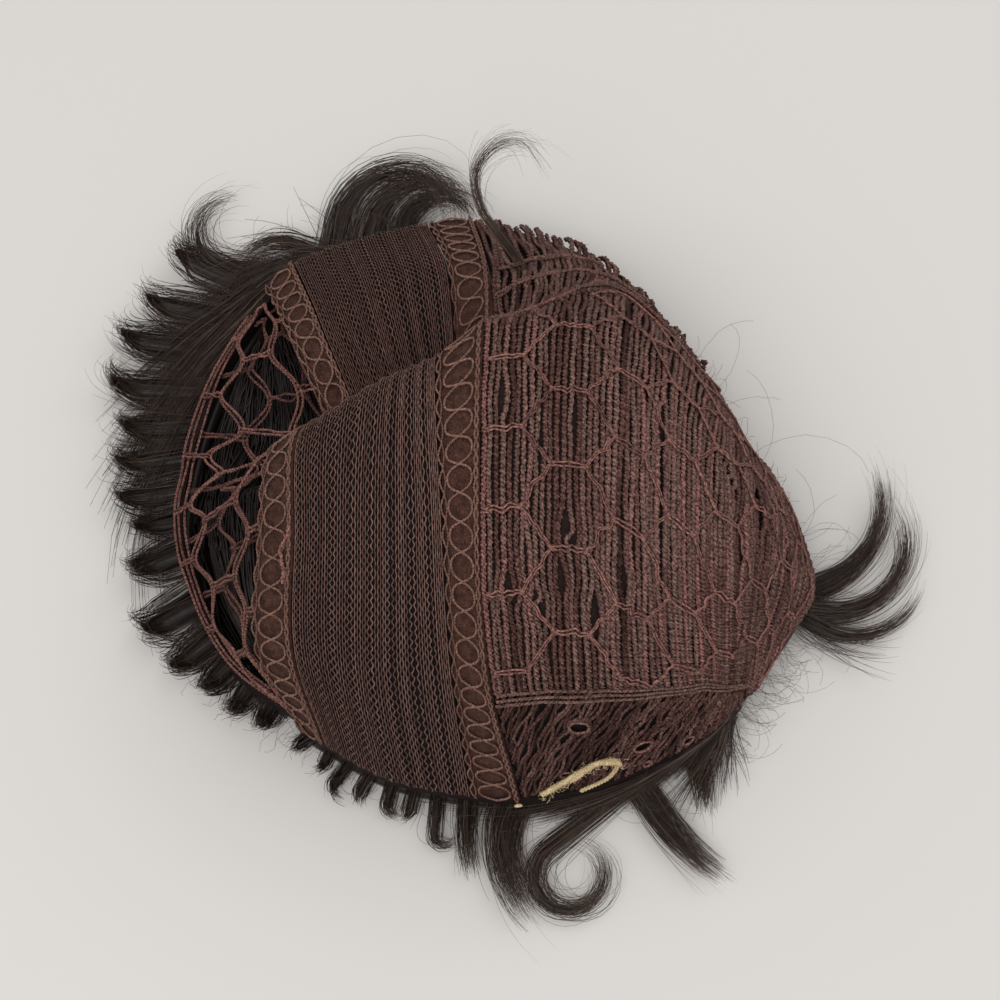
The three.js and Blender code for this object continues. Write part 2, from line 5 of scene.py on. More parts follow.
import bpy
import numpy as np
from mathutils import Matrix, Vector


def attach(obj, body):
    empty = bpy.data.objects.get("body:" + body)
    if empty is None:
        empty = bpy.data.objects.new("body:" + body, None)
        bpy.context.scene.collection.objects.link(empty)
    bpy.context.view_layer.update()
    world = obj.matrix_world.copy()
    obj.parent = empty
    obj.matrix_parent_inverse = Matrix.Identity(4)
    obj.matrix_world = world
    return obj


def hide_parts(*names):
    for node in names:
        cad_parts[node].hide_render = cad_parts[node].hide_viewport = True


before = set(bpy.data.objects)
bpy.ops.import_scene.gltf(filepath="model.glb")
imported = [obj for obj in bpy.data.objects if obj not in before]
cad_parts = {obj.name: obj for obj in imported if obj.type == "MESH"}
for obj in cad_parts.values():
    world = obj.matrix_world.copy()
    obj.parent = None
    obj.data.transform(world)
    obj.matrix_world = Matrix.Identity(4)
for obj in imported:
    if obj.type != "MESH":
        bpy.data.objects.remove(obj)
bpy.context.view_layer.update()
rng = np.random.default_rng(7)

# Tables are in millimetres, in the frame they were drawn in; MIDDLE moves them to the row frame
MM = 0.001
MIDDLE = np.array([2.163, 2.7523, 0.0])
UP = np.array([0.0, 0.0, 1.0])
TINY = 1e-9

# Sections of the cap: near, shoulder, crest, lip, valley, terrace and far points of each row
CAP_ROWS = np.array([
    [(-60, -58, 16), (-79, -43, 17), (-92, -18, 18), (-96, 2, 18),
     (-93, 25, 18), (-86, 49, 17), (-74, 71, 16)],
    [(-56, -63, 16), (-66, -49, 54), (-65, -26, 70), (-63, 4, 66),
     (-48, 16, 36), (-60, 48, 36), (-71, 76, 16)],
    [(-50, -67, 16), (-56, -51, 60), (-55, -27, 78), (-55, 7, 71),
     (-41, 21, 37), (-52, 52, 38), (-63, 84, 16)],
    [(-32, -77, 16), (-35, -57, 66), (-35, -27, 86), (-34, 17, 79),
     (-27, 29, 40), (-36, 62, 41), (-44, 92, 16)],
    [(-8, -82, 16), (-13, -58, 72), (-15, -26, 92), (-17, 22, 86),
     (-13, 34, 48), (-15, 67, 44), (-22, 97, 17)],
    [(6, -83, 16), (-3, -61, 75), (-5, -27, 95), (-4, 30, 87), (-2, 42, 62), (-3, 66, 49), (-8, 98, 17)],
    [(32, -78, 16), (27, -63, 70), (25, -25, 95), (27, 28, 88), (29, 45, 74), (30, 64, 48), (30, 85, 16)],
    [(60, -64, 16), (55, -55, 52), (52, -32, 84), (54, 2, 78), (57, 20, 62), (60, 35, 38), (62, 47, 16)],
    [(69, -55, 16), (71, -44, 34), (72, -31, 60), (74, -14, 58), (74, 1, 44), (74, 14, 30), (73, 24, 16)],
    [(74, -49, 16), (82, -37, 16), (90, -25, 17), (91, -17, 17), (88, -4, 17), (84, 8, 16), (78, 18, 16)],
], dtype=float)
LAST_ROW = len(CAP_ROWS) - 1

# Rows where the bands and panels start, the last rows of the two flaps and the share of the crest
LACE_A_ROW, MESH_ROW, LACE_B_ROW, WEFT_ROW = 1, 2, 4, 5
NEAR_FLAP_END, FAR_FLAP_END = 8.0, 6.95
CREST_SHARE = 0.4
# Steps for the slopes of the cap
ROW_STEP, SHARE_STEP = 0.02, 0.003

# Seams of the two flaps: row, near share, far share
FLAP_SEAMS = np.array([
    (5, 0.135, 0.53), (5.5, 0.15, 0.64), (6, 0.155, 0.71), (6.5, 0.15, 0.82),
    (7, 0.14, 1), (8, 0.06, 1), (8.4, 0, 1), (9, 0, 1),
])


# Curves and the cap surface

def spline(points, t):
    """Centripetal curve through points[k, sample], at one t from 0 to 1 for each sample."""
    points = np.broadcast_to(points, (len(points), len(t), 3))
    place = np.clip(t, 0, 1) * (len(points) - 1)
    first = np.minimum(place.astype(int), len(points) - 2)
    w = (place - first)[:, None]
    before, after = 2 * points[:1] - points[1:2], 2 * points[-1:] - points[-2:-1]
    padded = np.concatenate([before, points, after])
    p0, p1, p2, p3 = (padded[first + k, np.arange(len(t))] for k in range(4))
    spans = (p0, p1), (p1, p2), (p2, p3)
    d0, d1, d2 = (np.maximum(((b - a) ** 2).sum(1), TINY)[:, None] ** 0.25 for a, b in spans)
    m1 = ((p1 - p0) / d0 - (p2 - p0) / (d0 + d1) + (p2 - p1) / d1) * d1
    m2 = ((p2 - p1) / d1 - (p3 - p1) / (d1 + d2) + (p3 - p2) / d2) * d1
    return p1 + m1 * w + (3 * (p2 - p1) - 2 * m1 - m2) * w ** 2 + (2 * (p1 - p2) + m1 + m2) * w ** 3


def distances(points):
    """Distance along a line of points, from its start to each point."""
    return np.concatenate([[0], np.cumsum(np.linalg.norm(np.diff(points, axis=0), axis=1))])


def unit(vectors):
    return vectors / np.maximum(np.linalg.norm(vectors, axis=-1, keepdims=True), TINY)


def rows_and_shares(row, share):
    return np.broadcast_arrays(np.atleast_1d(row).astype(float), np.atleast_1d(share).astype(float))


def cap(row, share):
    """Points of the cap surface."""
    row, share = rows_and_shares(row, share)
    sections = np.stack([spline(points[:, None], share.ravel()) for points in CAP_ROWS])
    return spline(sections, row.ravel() / LAST_ROW)


def cap_slopes(row, share):
    """Change of the surface point per row and per share."""
    row, share = rows_and_shares(row, share)
    low_row, high_row = np.clip(row - ROW_STEP, 0, LAST_ROW), np.clip(row + ROW_STEP, 0, LAST_ROW)
    low, high = np.clip(share - SHARE_STEP, 0, 1), np.clip(share + SHARE_STEP, 0, 1)
    across = (cap(high_row, share) - cap(low_row, share)) / (high_row - low_row)[:, None]
    along = (cap(row, high) - cap(row, low)) / (high - low)[:, None]
    return across, along


def lay(row, share, lift=0.0, aside=0.0):
    """Points over the cap, lifted along its normal and moved aside across the rows, with the normals."""
    across, along = cap_slopes(row, share)
    normal = unit(np.cross(across, along))
    points = cap(row, share) + normal * np.reshape(lift, (-1, 1)) + unit(across) * np.reshape(aside, (-1, 1))
    return points, normal


def near_seam(row):
    return np.interp(row, FLAP_SEAMS[:, 0], FLAP_SEAMS[:, 1])


def far_seam(row):
    return np.interp(row, FLAP_SEAMS[:, 0], FLAP_SEAMS[:, 2])


def near_rim(row):
    return np.zeros_like(row)


def far_rim(row):
    return np.ones_like(row)


def wander(t, size, waves=4):
    """Smooth seeded wobble along t."""
    total = np.zeros_like(t)
    for k in range(1, waves + 1):
        total += rng.normal() * np.sin(2 * np.pi * (k * t * 1.7 + rng.random())) / k
    return size * total


# Meshes gathered from many tubes and sheets

def ring_faces(count, steps, sides):
    """Faces between the rings of tubes whose points follow each other in one list."""
    start = (np.arange(count)[:, None] * steps + np.arange(steps - 1)[None]).reshape(-1, 1) * sides
    here = np.arange(sides)
    then = (here + 1) % sides
    corners = [start + here, start + then, start + sides + then, start + sides + here]
    return np.stack(corners, -1).reshape(-1, 4)


def quads(a, b, c, d):
    return np.stack([a.ravel(), b.ravel(), c.ravel(), d.ravel()], 1)


CORD_PLIES, PLY_OFFSET, PLY_TINT = 2, 0.85, 0.06


class Bundle:
    """Tubes and sheets joined into one mesh, with a tint for every point."""

    def __init__(self):
        self.points, self.faces, self.tints, self.count = [], [], [], 0

    def add(self, points, faces, tint):
        self.points.append(points)
        self.faces.append(faces + self.count)
        self.tints.append(np.broadcast_to(tint, len(points)).astype(np.float32))
        self.count += len(points)

    def tubes(self, paths, radii, normals, sides, tints):
        """One tube for each path, with a radius for each point."""
        count, steps, _ = paths.shape
        radii = np.broadcast_to(radii, (count, steps))
        ahead = unit(np.gradient(paths, axis=1))
        side = unit(np.cross(np.broadcast_to(normals, paths.shape), ahead))
        out = np.cross(ahead, side)
        angle = 2 * np.pi * np.arange(sides) / sides
        ring = side[:, :, None] * np.cos(angle)[:, None] + out[:, :, None] * np.sin(angle)[:, None]
        points = (paths[:, :, None] + ring * radii[:, :, None, None]).reshape(-1, 3)
        tints = np.broadcast_to(np.reshape(tints, (-1, 1)) if np.ndim(tints) == 1 else tints, (count, steps))
        self.add(points, ring_faces(count, steps, sides), np.repeat(np.clip(tints, 0, 1).ravel(), sides))

    def cord(self, path, normals, radius, pitch, tint, points_per_turn=3, sides=3):
        """Twisted cord along one path."""
        run = distances(path)
        steps = max(6, int(run[-1] / pitch * points_per_turn))
        place = np.linspace(0, run[-1], steps)
        line = np.stack([np.interp(place, run, path[:, k]) for k in range(3)], 1)
        up = unit(np.stack([np.interp(place, run, normals[:, k]) for k in range(3)], 1))
        side = unit(np.cross(unit(np.gradient(line, axis=0)), up))
        shade = tint + wander(place / max(run[-1], 60), 0.1, 5)
        for ply in range(CORD_PLIES):
            turn = 2 * np.pi * (place / pitch + ply / CORD_PLIES)
            offset = side * np.cos(turn)[:, None] + up * np.sin(turn)[:, None]
            strand = line + offset * radius * PLY_OFFSET
            self.tubes(strand[None], radius, up[None], sides, (shade + PLY_TINT * ply)[None])

    def sheet(self, outer, inner, tint):
        """Closed wall between two grids of points."""
        count = outer.shape[0] * outer.shape[1]
        index = np.arange(count).reshape(outer.shape[:2])
        top = quads(index[:-1, :-1], index[1:, :-1], index[1:, 1:], index[:-1, 1:])
        loop = np.concatenate([index[:, 0], index[-1, 1:], index[-2::-1, -1], index[0, -2:0:-1]])
        after = np.roll(loop, -1)
        walls = quads(after, loop, loop + count, after + count)
        self.add(np.concatenate([outer.reshape(-1, 3), inner.reshape(-1, 3)]),
                 np.concatenate([top, top[:, ::-1] + count, walls]), tint)

    def make(self, name, material, slot, replaces=()):
        """Blender object of everything gathered."""
        points = (np.concatenate(self.points) - MIDDLE) * MM
        faces = np.concatenate(self.faces).astype(np.int32)
        mesh = bpy.data.meshes.new(name)
        mesh.vertices.add(len(points))
        mesh.vertices.foreach_set("co", points.astype(np.float32).ravel())
        mesh.loops.add(faces.size)
        mesh.loops.foreach_set("vertex_index", faces.ravel())
        mesh.polygons.add(len(faces))
        mesh.polygons.foreach_set("loop_start", np.arange(len(faces), dtype=np.int32) * 4)
        mesh.update(calc_edges=True)
        mesh.shade_smooth()
        mesh.attributes.new("tint", "FLOAT", "POINT").data.foreach_set("value", np.concatenate(self.tints))
        mesh.materials.append(material)
        piece = bpy.data.objects.new(name, mesh)
        bpy.context.scene.collection.objects.link(piece)
        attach(piece, "root")
        if replaces:
            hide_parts(*replaces)
        return piece


def wall(bundle, rows, shares, steps, lift, depth, tint):
    """Sheet between two rows and two lines of shares, from lift down to depth: lace ground cloth, or a
    near-black sheet of painted shade.
    """
    across, along = steps
    line = np.linspace(rows[0], rows[1], across + 1)
    low, high = (share(line) for share in shares)
    share = low[:, None] + (high - low)[:, None] * np.linspace(0, 1, along + 1)
    row = np.broadcast_to(line[:, None], share.shape)
    outer, inner = (lay(row.ravel(), share.ravel(), height)[0] for height in (lift, -depth))
    bundle.sheet(outer.reshape(*share.shape, 3), inner.reshape(*share.shape, 3), tint)


# Materials

def multiply(tree, colour, value):
    """Colour of a material times a value."""
    node = tree.nodes.new("ShaderNodeMix")
    node.data_type, node.blend_type = "RGBA", "MULTIPLY"
    node.inputs["Factor"].default_value = 1
    tree.links.new(colour, node.inputs["A"])
    tree.links.new(value, node.inputs["B"])
    return node.outputs["Result"]


def map_range(tree, value, **limits):
    """Value of a material moved from one range to another."""
    node = tree.nodes.new("ShaderNodeMapRange")
    for name, limit in limits.items():
        node.inputs[name.replace("_", " ").title()].default_value = limit
    tree.links.new(value, node.inputs["Value"])
    return node.outputs["Result"]


def tint_ramp(tree, colours):
    """Colour that follows the tint of the mesh."""
    tint = tree.nodes.new("ShaderNodeAttribute")
    tint.attribute_name = "tint"
    ramp = tree.nodes.new("ShaderNodeValToRGB")
    stops = ramp.color_ramp.elements
    for k, colour in enumerate(colours):
        at = k / (len(colours) - 1)
        stop = stops[k] if k < 2 else stops.new(at)
        stop.position, stop.color = at, (*colour, 1)
    stops[1].position = 1 / (len(colours) - 1)
    tree.links.new(tint.outputs["Fac"], ramp.inputs["Fac"])
    return ramp.outputs["Color"]


def node_material(name, colours, rough, grain, grain_size, bump, sheen=0.0, specular=0.2, weave=None):
    """Cloth or fibre whose colour follows the tint, with fine grain and bump, and cells if it is woven."""
    material = bpy.data.materials.new(name)
    material.use_nodes = True
    tree = material.node_tree
    shader = tree.nodes["Principled BSDF"]
    shader.inputs["Roughness"].default_value = rough
    shader.inputs["Sheen Weight"].default_value = sheen
    shader.inputs["Specular IOR Level"].default_value = specular
    place = tree.nodes.new("ShaderNodeTexCoord").outputs["Object"]
    noise = tree.nodes.new("ShaderNodeTexNoise")
    noise.inputs["Scale"].default_value = grain_size
    noise.inputs["Detail"].default_value = 4
    tree.links.new(place, noise.inputs["Vector"])
    height = noise.outputs["Fac"]
    spread = map_range(tree, height, from_min=0.33, from_max=0.67, to_min=1 - grain, to_max=1 + grain)
    colour = multiply(tree, tint_ramp(tree, colours), spread)
    if weave:
        cells = tree.nodes.new("ShaderNodeTexVoronoi")
        cells.feature = "DISTANCE_TO_EDGE"
        cells.inputs["Scale"].default_value = weave
        tree.links.new(place, cells.inputs["Vector"])
        height = map_range(tree, cells.outputs["Distance"], from_max=0.22, to_min=1.25, to_max=0.45)
        colour = multiply(tree, colour, height)
    relief = tree.nodes.new("ShaderNodeBump")
    relief.inputs["Strength"].default_value = bump
    relief.inputs["Distance"].default_value = 0.0004
    tree.links.new(height, relief.inputs["Height"])
    tree.links.new(colour, shader.inputs["Base Color"])
    tree.links.new(relief.outputs["Normal"], shader.inputs["Normal"])
    return material


weft_cloth = node_material(
    "weft_rows", [(0.05, 0.021, 0.017), (0.13, 0.06, 0.05), (0.18, 0.106, 0.088), (0.26, 0.116, 0.102)],
    0.85, 0.75, 1300, 0.5)
# Near-black colour of the sheets under the threads: painted shade of the hollow seen between them
painted_shade_cloth = node_material("painted_shade_sheet", [(0.003, 0.002, 0.002), (0.03, 0.016, 0.013)], 0.9, 0.4, 700, 0.4)
mesh_thread = node_material("mesh_thread", [(0.112, 0.058, 0.047), (0.205, 0.117, 0.098)], 0.8, 0.5, 900, 0.3)
lace_cloth = node_material(
    "lace_ground", [(0.06, 0.025, 0.017), (0.09, 0.04, 0.029)], 0.9, 0.4, 500, 0.5, weave=1700)
lace_thread = node_material("lace_thread", [(0.15, 0.073, 0.054), (0.28, 0.156, 0.12)], 0.85, 0.5, 1500, 0.5)
net_thread = node_material("net_thread", [(0.07, 0.031, 0.027), (0.27, 0.128, 0.106)], 0.85, 0.7, 1300, 0.5)
tape_cloth = node_material(
    "rim_tape", [(0.018, 0.01, 0.009), (0.032, 0.018, 0.017)], 0.9, 0.3, 900, 0.4, weave=1800)
hair_fibre = node_material(
    "hair", [(0.0085, 0.005, 0.004), (0.032, 0.019, 0.015), (0.14, 0.093, 0.068)],
    0.42, 0.2, 300, 0.0, specular=0.35)
tie_yarn = node_material("tie_yarn", [(0.5, 0.36, 0.17), (0.74, 0.58, 0.33)], 0.9, 0.3, 1600, 0.5, sheen=0.2)


# Weft panel: twisted rows over a near-black sheet of painted shade, for the shaded hollow seen between them

WEFT_PITCH, WEFT_TWIST, WEFT_THIN, WEFT_THICK = 1.75, 2.5, 0.52, 0.66
WEFT_TINTS, WEFT_TINT_SHARES = [0.2, 0.42, 0.6, 0.85], [0.2, 0.38, 0.24, 0.18]
TINT_LIMIT = 0.95
# Near-black sheets of painted shade under the threads, and the lace ground: lift, depth, tint
WEFT_SHADE_SHEET, NEAR_SHADE_SHEET, FAR_SHADE_SHEET = (-1.0, 2.4, 0.6), (-1.0, 1.8, 0.1), (-1.2, 1.8, 0.1)
MESH_SHADE_SHEET, LACE_GROUND = (-0.8, 1.3, 0.2), (-0.35, 1.6, 0.5)
# Slits between the weft rows: row and share of both ends, width
SLITS = [
    (7.29, 0.522, 7.52, 0.446, 1.0), (7.79, 0.565, 7.88, 0.432, 2.2), (7.54, 0.429, 7.59, 0.332, 1.3),
    (8.26, 0.512, 8.39, 0.355, 2.4), (8.1, 0.369, 8.15, 0.259, 2.0),
    (5.27, 0.28, 5.29, 0.24, 0.7), (5.5, 0.26, 5.52, 0.22, 0.6), (5.95, 0.26, 5.97, 0.21, 0.7),
]
SMALL_SLITS, SLIT_ROOM, SLIT_FADE = 7, 1.7, 4.0

crest_rows = np.linspace(WEFT_ROW, LAST_ROW, 200)
crest_run = distances(cap(crest_rows, CREST_SHARE))


def all_slits():
    """Slits of the table and some small ones at random."""
    slits = list(SLITS)
    for _ in range(SMALL_SLITS):
        row, share = 5.2 + 2.2 * rng.random(), 0.2 + 0.3 * rng.random()
        slits.append((row, share, row + 0.02, share - 0.04, 0.2 + 0.4 * rng.random()))
    return slits


def slit_push(slits, row, share):
    """Movement of the weft rows away from the slits."""
    across = np.linalg.norm(cap_slopes(row, share)[0], axis=1)
    push = np.zeros_like(share)
    for row_a, share_a, row_b, share_b, width in slits:
        along = (share - share_a) / (share_b - share_a)
        open_part = np.maximum(0, 1 - (2 * along - 1) ** 2)
        away = (row - row_a - (row_b - row_a) * along) * across
        fade = np.exp(-np.abs(away) / SLIT_FADE)
        push += np.where(away < 0, -1, 1) * open_part * (width + SLIT_ROOM) / 2 * fade
    return push


def weft_panel():
    rows, shade_sheet, slits = Bundle(), Bundle(), all_slits()
    t = np.linspace(0, 1, 80)
    for place in np.interp(np.arange(0.8, crest_run[-1] - 0.6, WEFT_PITCH), crest_run, crest_rows):
        row = np.full_like(t, place)
        share = near_seam(place) + (far_seam(place) - near_seam(place)) * t
        drift = wander(t, 0.3, 14) + slit_push(slits, row, share)
        path, normal = lay(row, share, -0.3 + wander(t, 0.22), drift)
        tint = np.clip(rng.choice(WEFT_TINTS, p=WEFT_TINT_SHARES) + rng.normal() * 0.08, 0, TINT_LIMIT)
        radius = WEFT_THIN + (WEFT_THICK - WEFT_THIN) * rng.random()
        rows.cord(path, normal, radius, WEFT_TWIST, tint)
    wall(shade_sheet, (WEFT_ROW, LAST_ROW), (near_seam, far_seam), (40, 40), *WEFT_SHADE_SHEET)
    rows.make("weft_rows", weft_cloth, "weft", ("weft_panel",))
    shade_sheet.make("weft_shade_sheet", painted_shade_cloth, "weft")


# Net of double threads lying over the weft rows

NET_COLUMN, NET_LINE, NET_BAR, NET_FIRST, NET_LIFT = 17.0, 22.0, 4.5, 6.0, 0.95
NET_LAST_ROW, KNOT_LAST_ROW = 8.9, 8.85
# Threads of the net over the wefts: gap, radius, tint
BAR_THREAD, DIAGONAL_THREAD = (0.5, 0.28, 0.85), (0.22, 0.25, 0.72)

grid_rows = np.linspace(WEFT_ROW, LAST_ROW, 60)
grid_shares = np.linspace(0, 1, 120)


def crest_distances(row):
    """Distance of the grid's shares from the crest, along one row."""
    run = distances(cap(row, grid_shares))
    return run - np.interp(CREST_SHARE, grid_shares, run)


net_runs = np.array([crest_distances(row) for row in grid_rows])


def net_place(across, along):
    """Row and share of a point given by its distance over the cap from the lace and the crest."""
    row = np.interp(across, crest_run, crest_rows)
    at = np.clip(np.interp(row, grid_rows, np.arange(len(grid_rows))), 0, len(grid_rows) - 1.001)
    first, part = int(at), at - int(at)
    run = net_runs[first] * (1 - part) + net_runs[first + 1] * part
    return row, np.interp(along, run, grid_shares)


def double_thread(bundle, start, end, gap, radius, tone):
    """Two threads side by side between two points of the net, if it stays on the weft panel."""
    t = np.linspace(0, 1, 13)
    wobble = wander(t, 0.5, 2) * np.sin(np.pi * t)
    apart = gap * np.sqrt(np.sin(np.pi * t)) + 0.1
    line = [(start[0] + (end[0] - start[0]) * k, start[1] + (end[1] - start[1]) * k) for k in t]
    row, share = np.array([net_place(x, y) for x, y in line]).T
    past_near, past_far = share < near_seam(row) + 0.005, share > far_seam(row) - 0.005
    if np.any(past_near) or np.any(past_far) or row.max() > NET_LAST_ROW:
        return
    points, normal = lay(row, share, NET_LIFT)
    side = unit(np.cross(unit(np.gradient(points, axis=0)), normal))
    tint = np.clip(tone + rng.normal() * 0.15, 0, TINT_LIMIT)
    for way in (-1, 1):
        path = points + side * (way * apart + wobble)[:, None]
        bundle.tubes(path[None], radius, normal[None], 4, (tint + wander(t, 0.1, 3))[None])


def knot(bundle, x, y):
    """Two turns of thread round a corner of the net."""
    row, share = net_place(x, y)
    if not near_seam(row) + 0.01 < share < far_seam(row) - 0.01 or row >= KNOT_LAST_ROW:
        return
    turn = np.linspace(0, 4 * np.pi, 15)
    flat = np.full_like(turn, share)
    points, normal = lay(np.full_like(turn, row), flat, 0.8 + 0.35 * np.sin(turn), 0.75 * np.cos(turn))
    points = points + np.linspace(-0.8, 0.8, len(turn))[:, None] * unit(cap_slopes(row, share)[1])
    bundle.tubes(points[None], 0.26, normal[None] + 0.3, 4, 0.75)


def net_over_wefts():
    overlay, knots = Bundle(), []
    for column in range(10):
        x = NET_FIRST + column * NET_COLUMN
        if x + NET_BAR > crest_run[-1]:
            break
        for line in range(-6, 7):
            y = (line + 0.5 * (column % 2)) * NET_LINE
            start, end = (x - NET_BAR, y), (x + NET_BAR, y)
            double_thread(overlay, start, end, *BAR_THREAD)
            knots += [start, end]
            for way in (-1, 1):
                corner = (x + NET_COLUMN - NET_BAR, y + way * NET_LINE / 2)
                double_thread(overlay, end, corner, *DIAGONAL_THREAD)
    for x, y in knots:
        if 0 <= x <= crest_run[-1]:
            knot(overlay, x, y)
    overlay.make("net_over_wefts", net_thread, "net_thread")


# Near flap: oblique rows round small holes

NEAR_ROW_STEP, NEAR_ROW_LEAN, NEAR_TWIST, NEAR_THIN, NEAR_THICK = 0.038, 0.75, 2.0, 0.28, 0.4
# Holes of the near flap: row, share, radius
HOLES = [
    (5.75, 0.103, 2.8), (6.31, 0.049, 2.8), (6.73, 0.02, 1.8), (6.13, 0.024, 1.3),
    (6.06, 0.05, 0.9), (6.33, 0.011, 1.3), (5.54, 0.03, 1.5),
]


def slope_lengths(row, share):
    """Millimetres per row and per share at one place."""
    return (np.linalg.norm(slope) for slope in cap_slopes(row, share))


def hole_push(row, share):
    """Rows and shares moved out of the holes."""
    for hole_row, hole_share, radius in HOLES:
        across, along = slope_lengths(hole_row, hole_share)
        x, y = (row - hole_row) * across, (share - hole_share) * along
        away = np.maximum(np.hypot(x, y), 0.05)
        grow = (away ** 4 + (radius + 0.5) ** 4) ** 0.25 / away
        row, share = hole_row + x * grow / across, hole_share + y * grow / along
    return row, share


def near_flap():
    rows, shade_sheet = Bundle(), Bundle()
    t = np.linspace(0, 1, 110)
    for start in np.arange(4.1, NEAR_FLAP_END, NEAR_ROW_STEP):
        row = start + NEAR_ROW_LEAN * t + wander(t, 0.024)
        row, share = hole_push(row, t * near_seam(row) * 0.97 + 0.004)
        keep = (row > 5.02) & (row < NEAR_FLAP_END) & (share > 0.001) & (share < near_seam(row))
        for part in np.split(np.arange(len(t)), np.where(np.diff(keep.astype(int)) != 0)[0] + 1):
            if len(part) > 4 and keep[part[0]]:
                path, normal = lay(row[part], share[part], -0.4 + wander(t[part], 0.3))
                tint = np.clip(0.2 + rng.normal() * 0.2, 0, TINT_LIMIT)
                radius = NEAR_THIN + (NEAR_THICK - NEAR_THIN) * rng.random()
                rows.cord(path, normal, radius, NEAR_TWIST, tint)
    # Thread round each hole
    turn = np.linspace(0, 2 * np.pi, 28)
    for hole_row, hole_share, radius in HOLES:
        across, along = slope_lengths(hole_row, hole_share)
        share = np.maximum(hole_share + radius * np.sin(turn) / along, 0.002)
        path, normal = lay(hole_row + radius * np.cos(turn) / across, share, 0.1 + wander(turn / 7, 0.1))
        rows.cord(path, normal, 0.26, 1.8, 0.8, 4, 4)
    # Three lines of stitching along the seam
    row = np.linspace(5.05, 7.9, 60)
    for shift in (0.0, -0.006, -0.012):
        path, normal = lay(row, near_seam(row) + shift, 0.4 + wander(row / 3, 0.2), wander(row / 3, 0.5))
        rows.cord(path, normal, 0.3, 2.2, 0.6, 5)
    # Near-black sheet of painted shade under the flap rows
    wall(shade_sheet, (WEFT_ROW, NEAR_FLAP_END), (near_rim, near_seam), (30, 8), *NEAR_SHADE_SHEET)
    rows.make("near_flap_rows", weft_cloth, "weft", ("near_flap",))
    shade_sheet.make("near_flap_shade_sheet", painted_shade_cloth, "weft")


# Far flap: rows that turn back in steps, with threads across them

FAR_ROW_STEP, FAR_SWAY, FAR_TWIST, FAR_THIN, FAR_THICK = 0.046, 0.08, 2.4, 0.45, 0.65
# Cross threads of the far flap: row and share of both ends
FAR_THREADS = [(5.1, 0.82, 5.99, 0.916), (5.05, 0.751, 6.31, 0.854), (5.02, 0.56, 6.6, 0.86)]


def far_flap():
    rows, shade_sheet = Bundle(), Bundle()
    t = np.linspace(0, 1, 50)
    for start in np.arange(5.03, FAR_FLAP_END, FAR_ROW_STEP):
        if far_seam(start) > 0.985:
            continue
        sway = FAR_SWAY * min(1, (start - WEFT_ROW) / 0.3)
        row = np.clip(start + wander(t, 0.012) + sway * np.sin(3 * t), 5.01, FAR_FLAP_END)
        share = far_seam(row) + (1 - far_seam(row)) * t
        step = np.maximum(0, np.sin(2 * np.pi * (t * 3.2 + start * 0.9))) ** 0.7
        jag = 1.5 * (np.sin(start * 21) > 0) * np.exp(-((t - 0.95) / 0.07) ** 2)
        path, normal = lay(row, share, -0.5 + 0.8 * step + jag, wander(t, 0.2))
        tint = np.clip(0.36 + rng.normal() * 0.22, 0, TINT_LIMIT)
        radius = FAR_THIN + (FAR_THICK - FAR_THIN) * rng.random()
        rows.cord(path, normal, radius, FAR_TWIST, tint)
    t = np.linspace(0, 1, 60)
    for row_a, share_a, row_b, share_b in FAR_THREADS:
        row, share = row_a + (row_b - row_a) * t, share_a + (share_b - share_a) * t
        for aside in (0, 0.9):
            path, normal = lay(row, np.clip(share + wander(t, 0.004), 0, 1), 1.0 + wander(t, 0.2), aside)
            rows.cord(path, normal, 0.34, 2.2, 0.75, 5)
    # Near-black sheet of painted shade under the flap rows
    wall(shade_sheet, (WEFT_ROW, FAR_FLAP_END), (far_seam, far_rim), (24, 14), *FAR_SHADE_SHEET)
    rows.make("far_flap_rows", weft_cloth, "weft", ("far_flap",))
    shade_sheet.make("far_flap_shade_sheet", painted_shade_cloth, "weft")


# Mesh panel: zigzag threads that meet their neighbours in hexagons

MESH_CELL, MESH_RADIUS, MESH_RIPPLE = 2.8, 0.24, 5.1
MESH_CLOTH = (MESH_ROW + 0.01, LACE_B_ROW - 0.01)
MESH_FIRST, MESH_SPAN = 2.03, 1.94


def mesh_spacing(run):
    """Places of the mesh threads from 0 to 1, closer and wider in turn."""
    spaces = []
    while sum(spaces) < run - 1:
        x = sum(spaces)
        wide = max(0, math.sin(2 * np.pi * x / MESH_RIPPLE + 0.8 * math.sin(x / 7))) ** 2
        spaces.append(0.68 + 0.62 * wide)
    return np.concatenate([[0], np.cumsum(spaces)]) / sum(spaces)


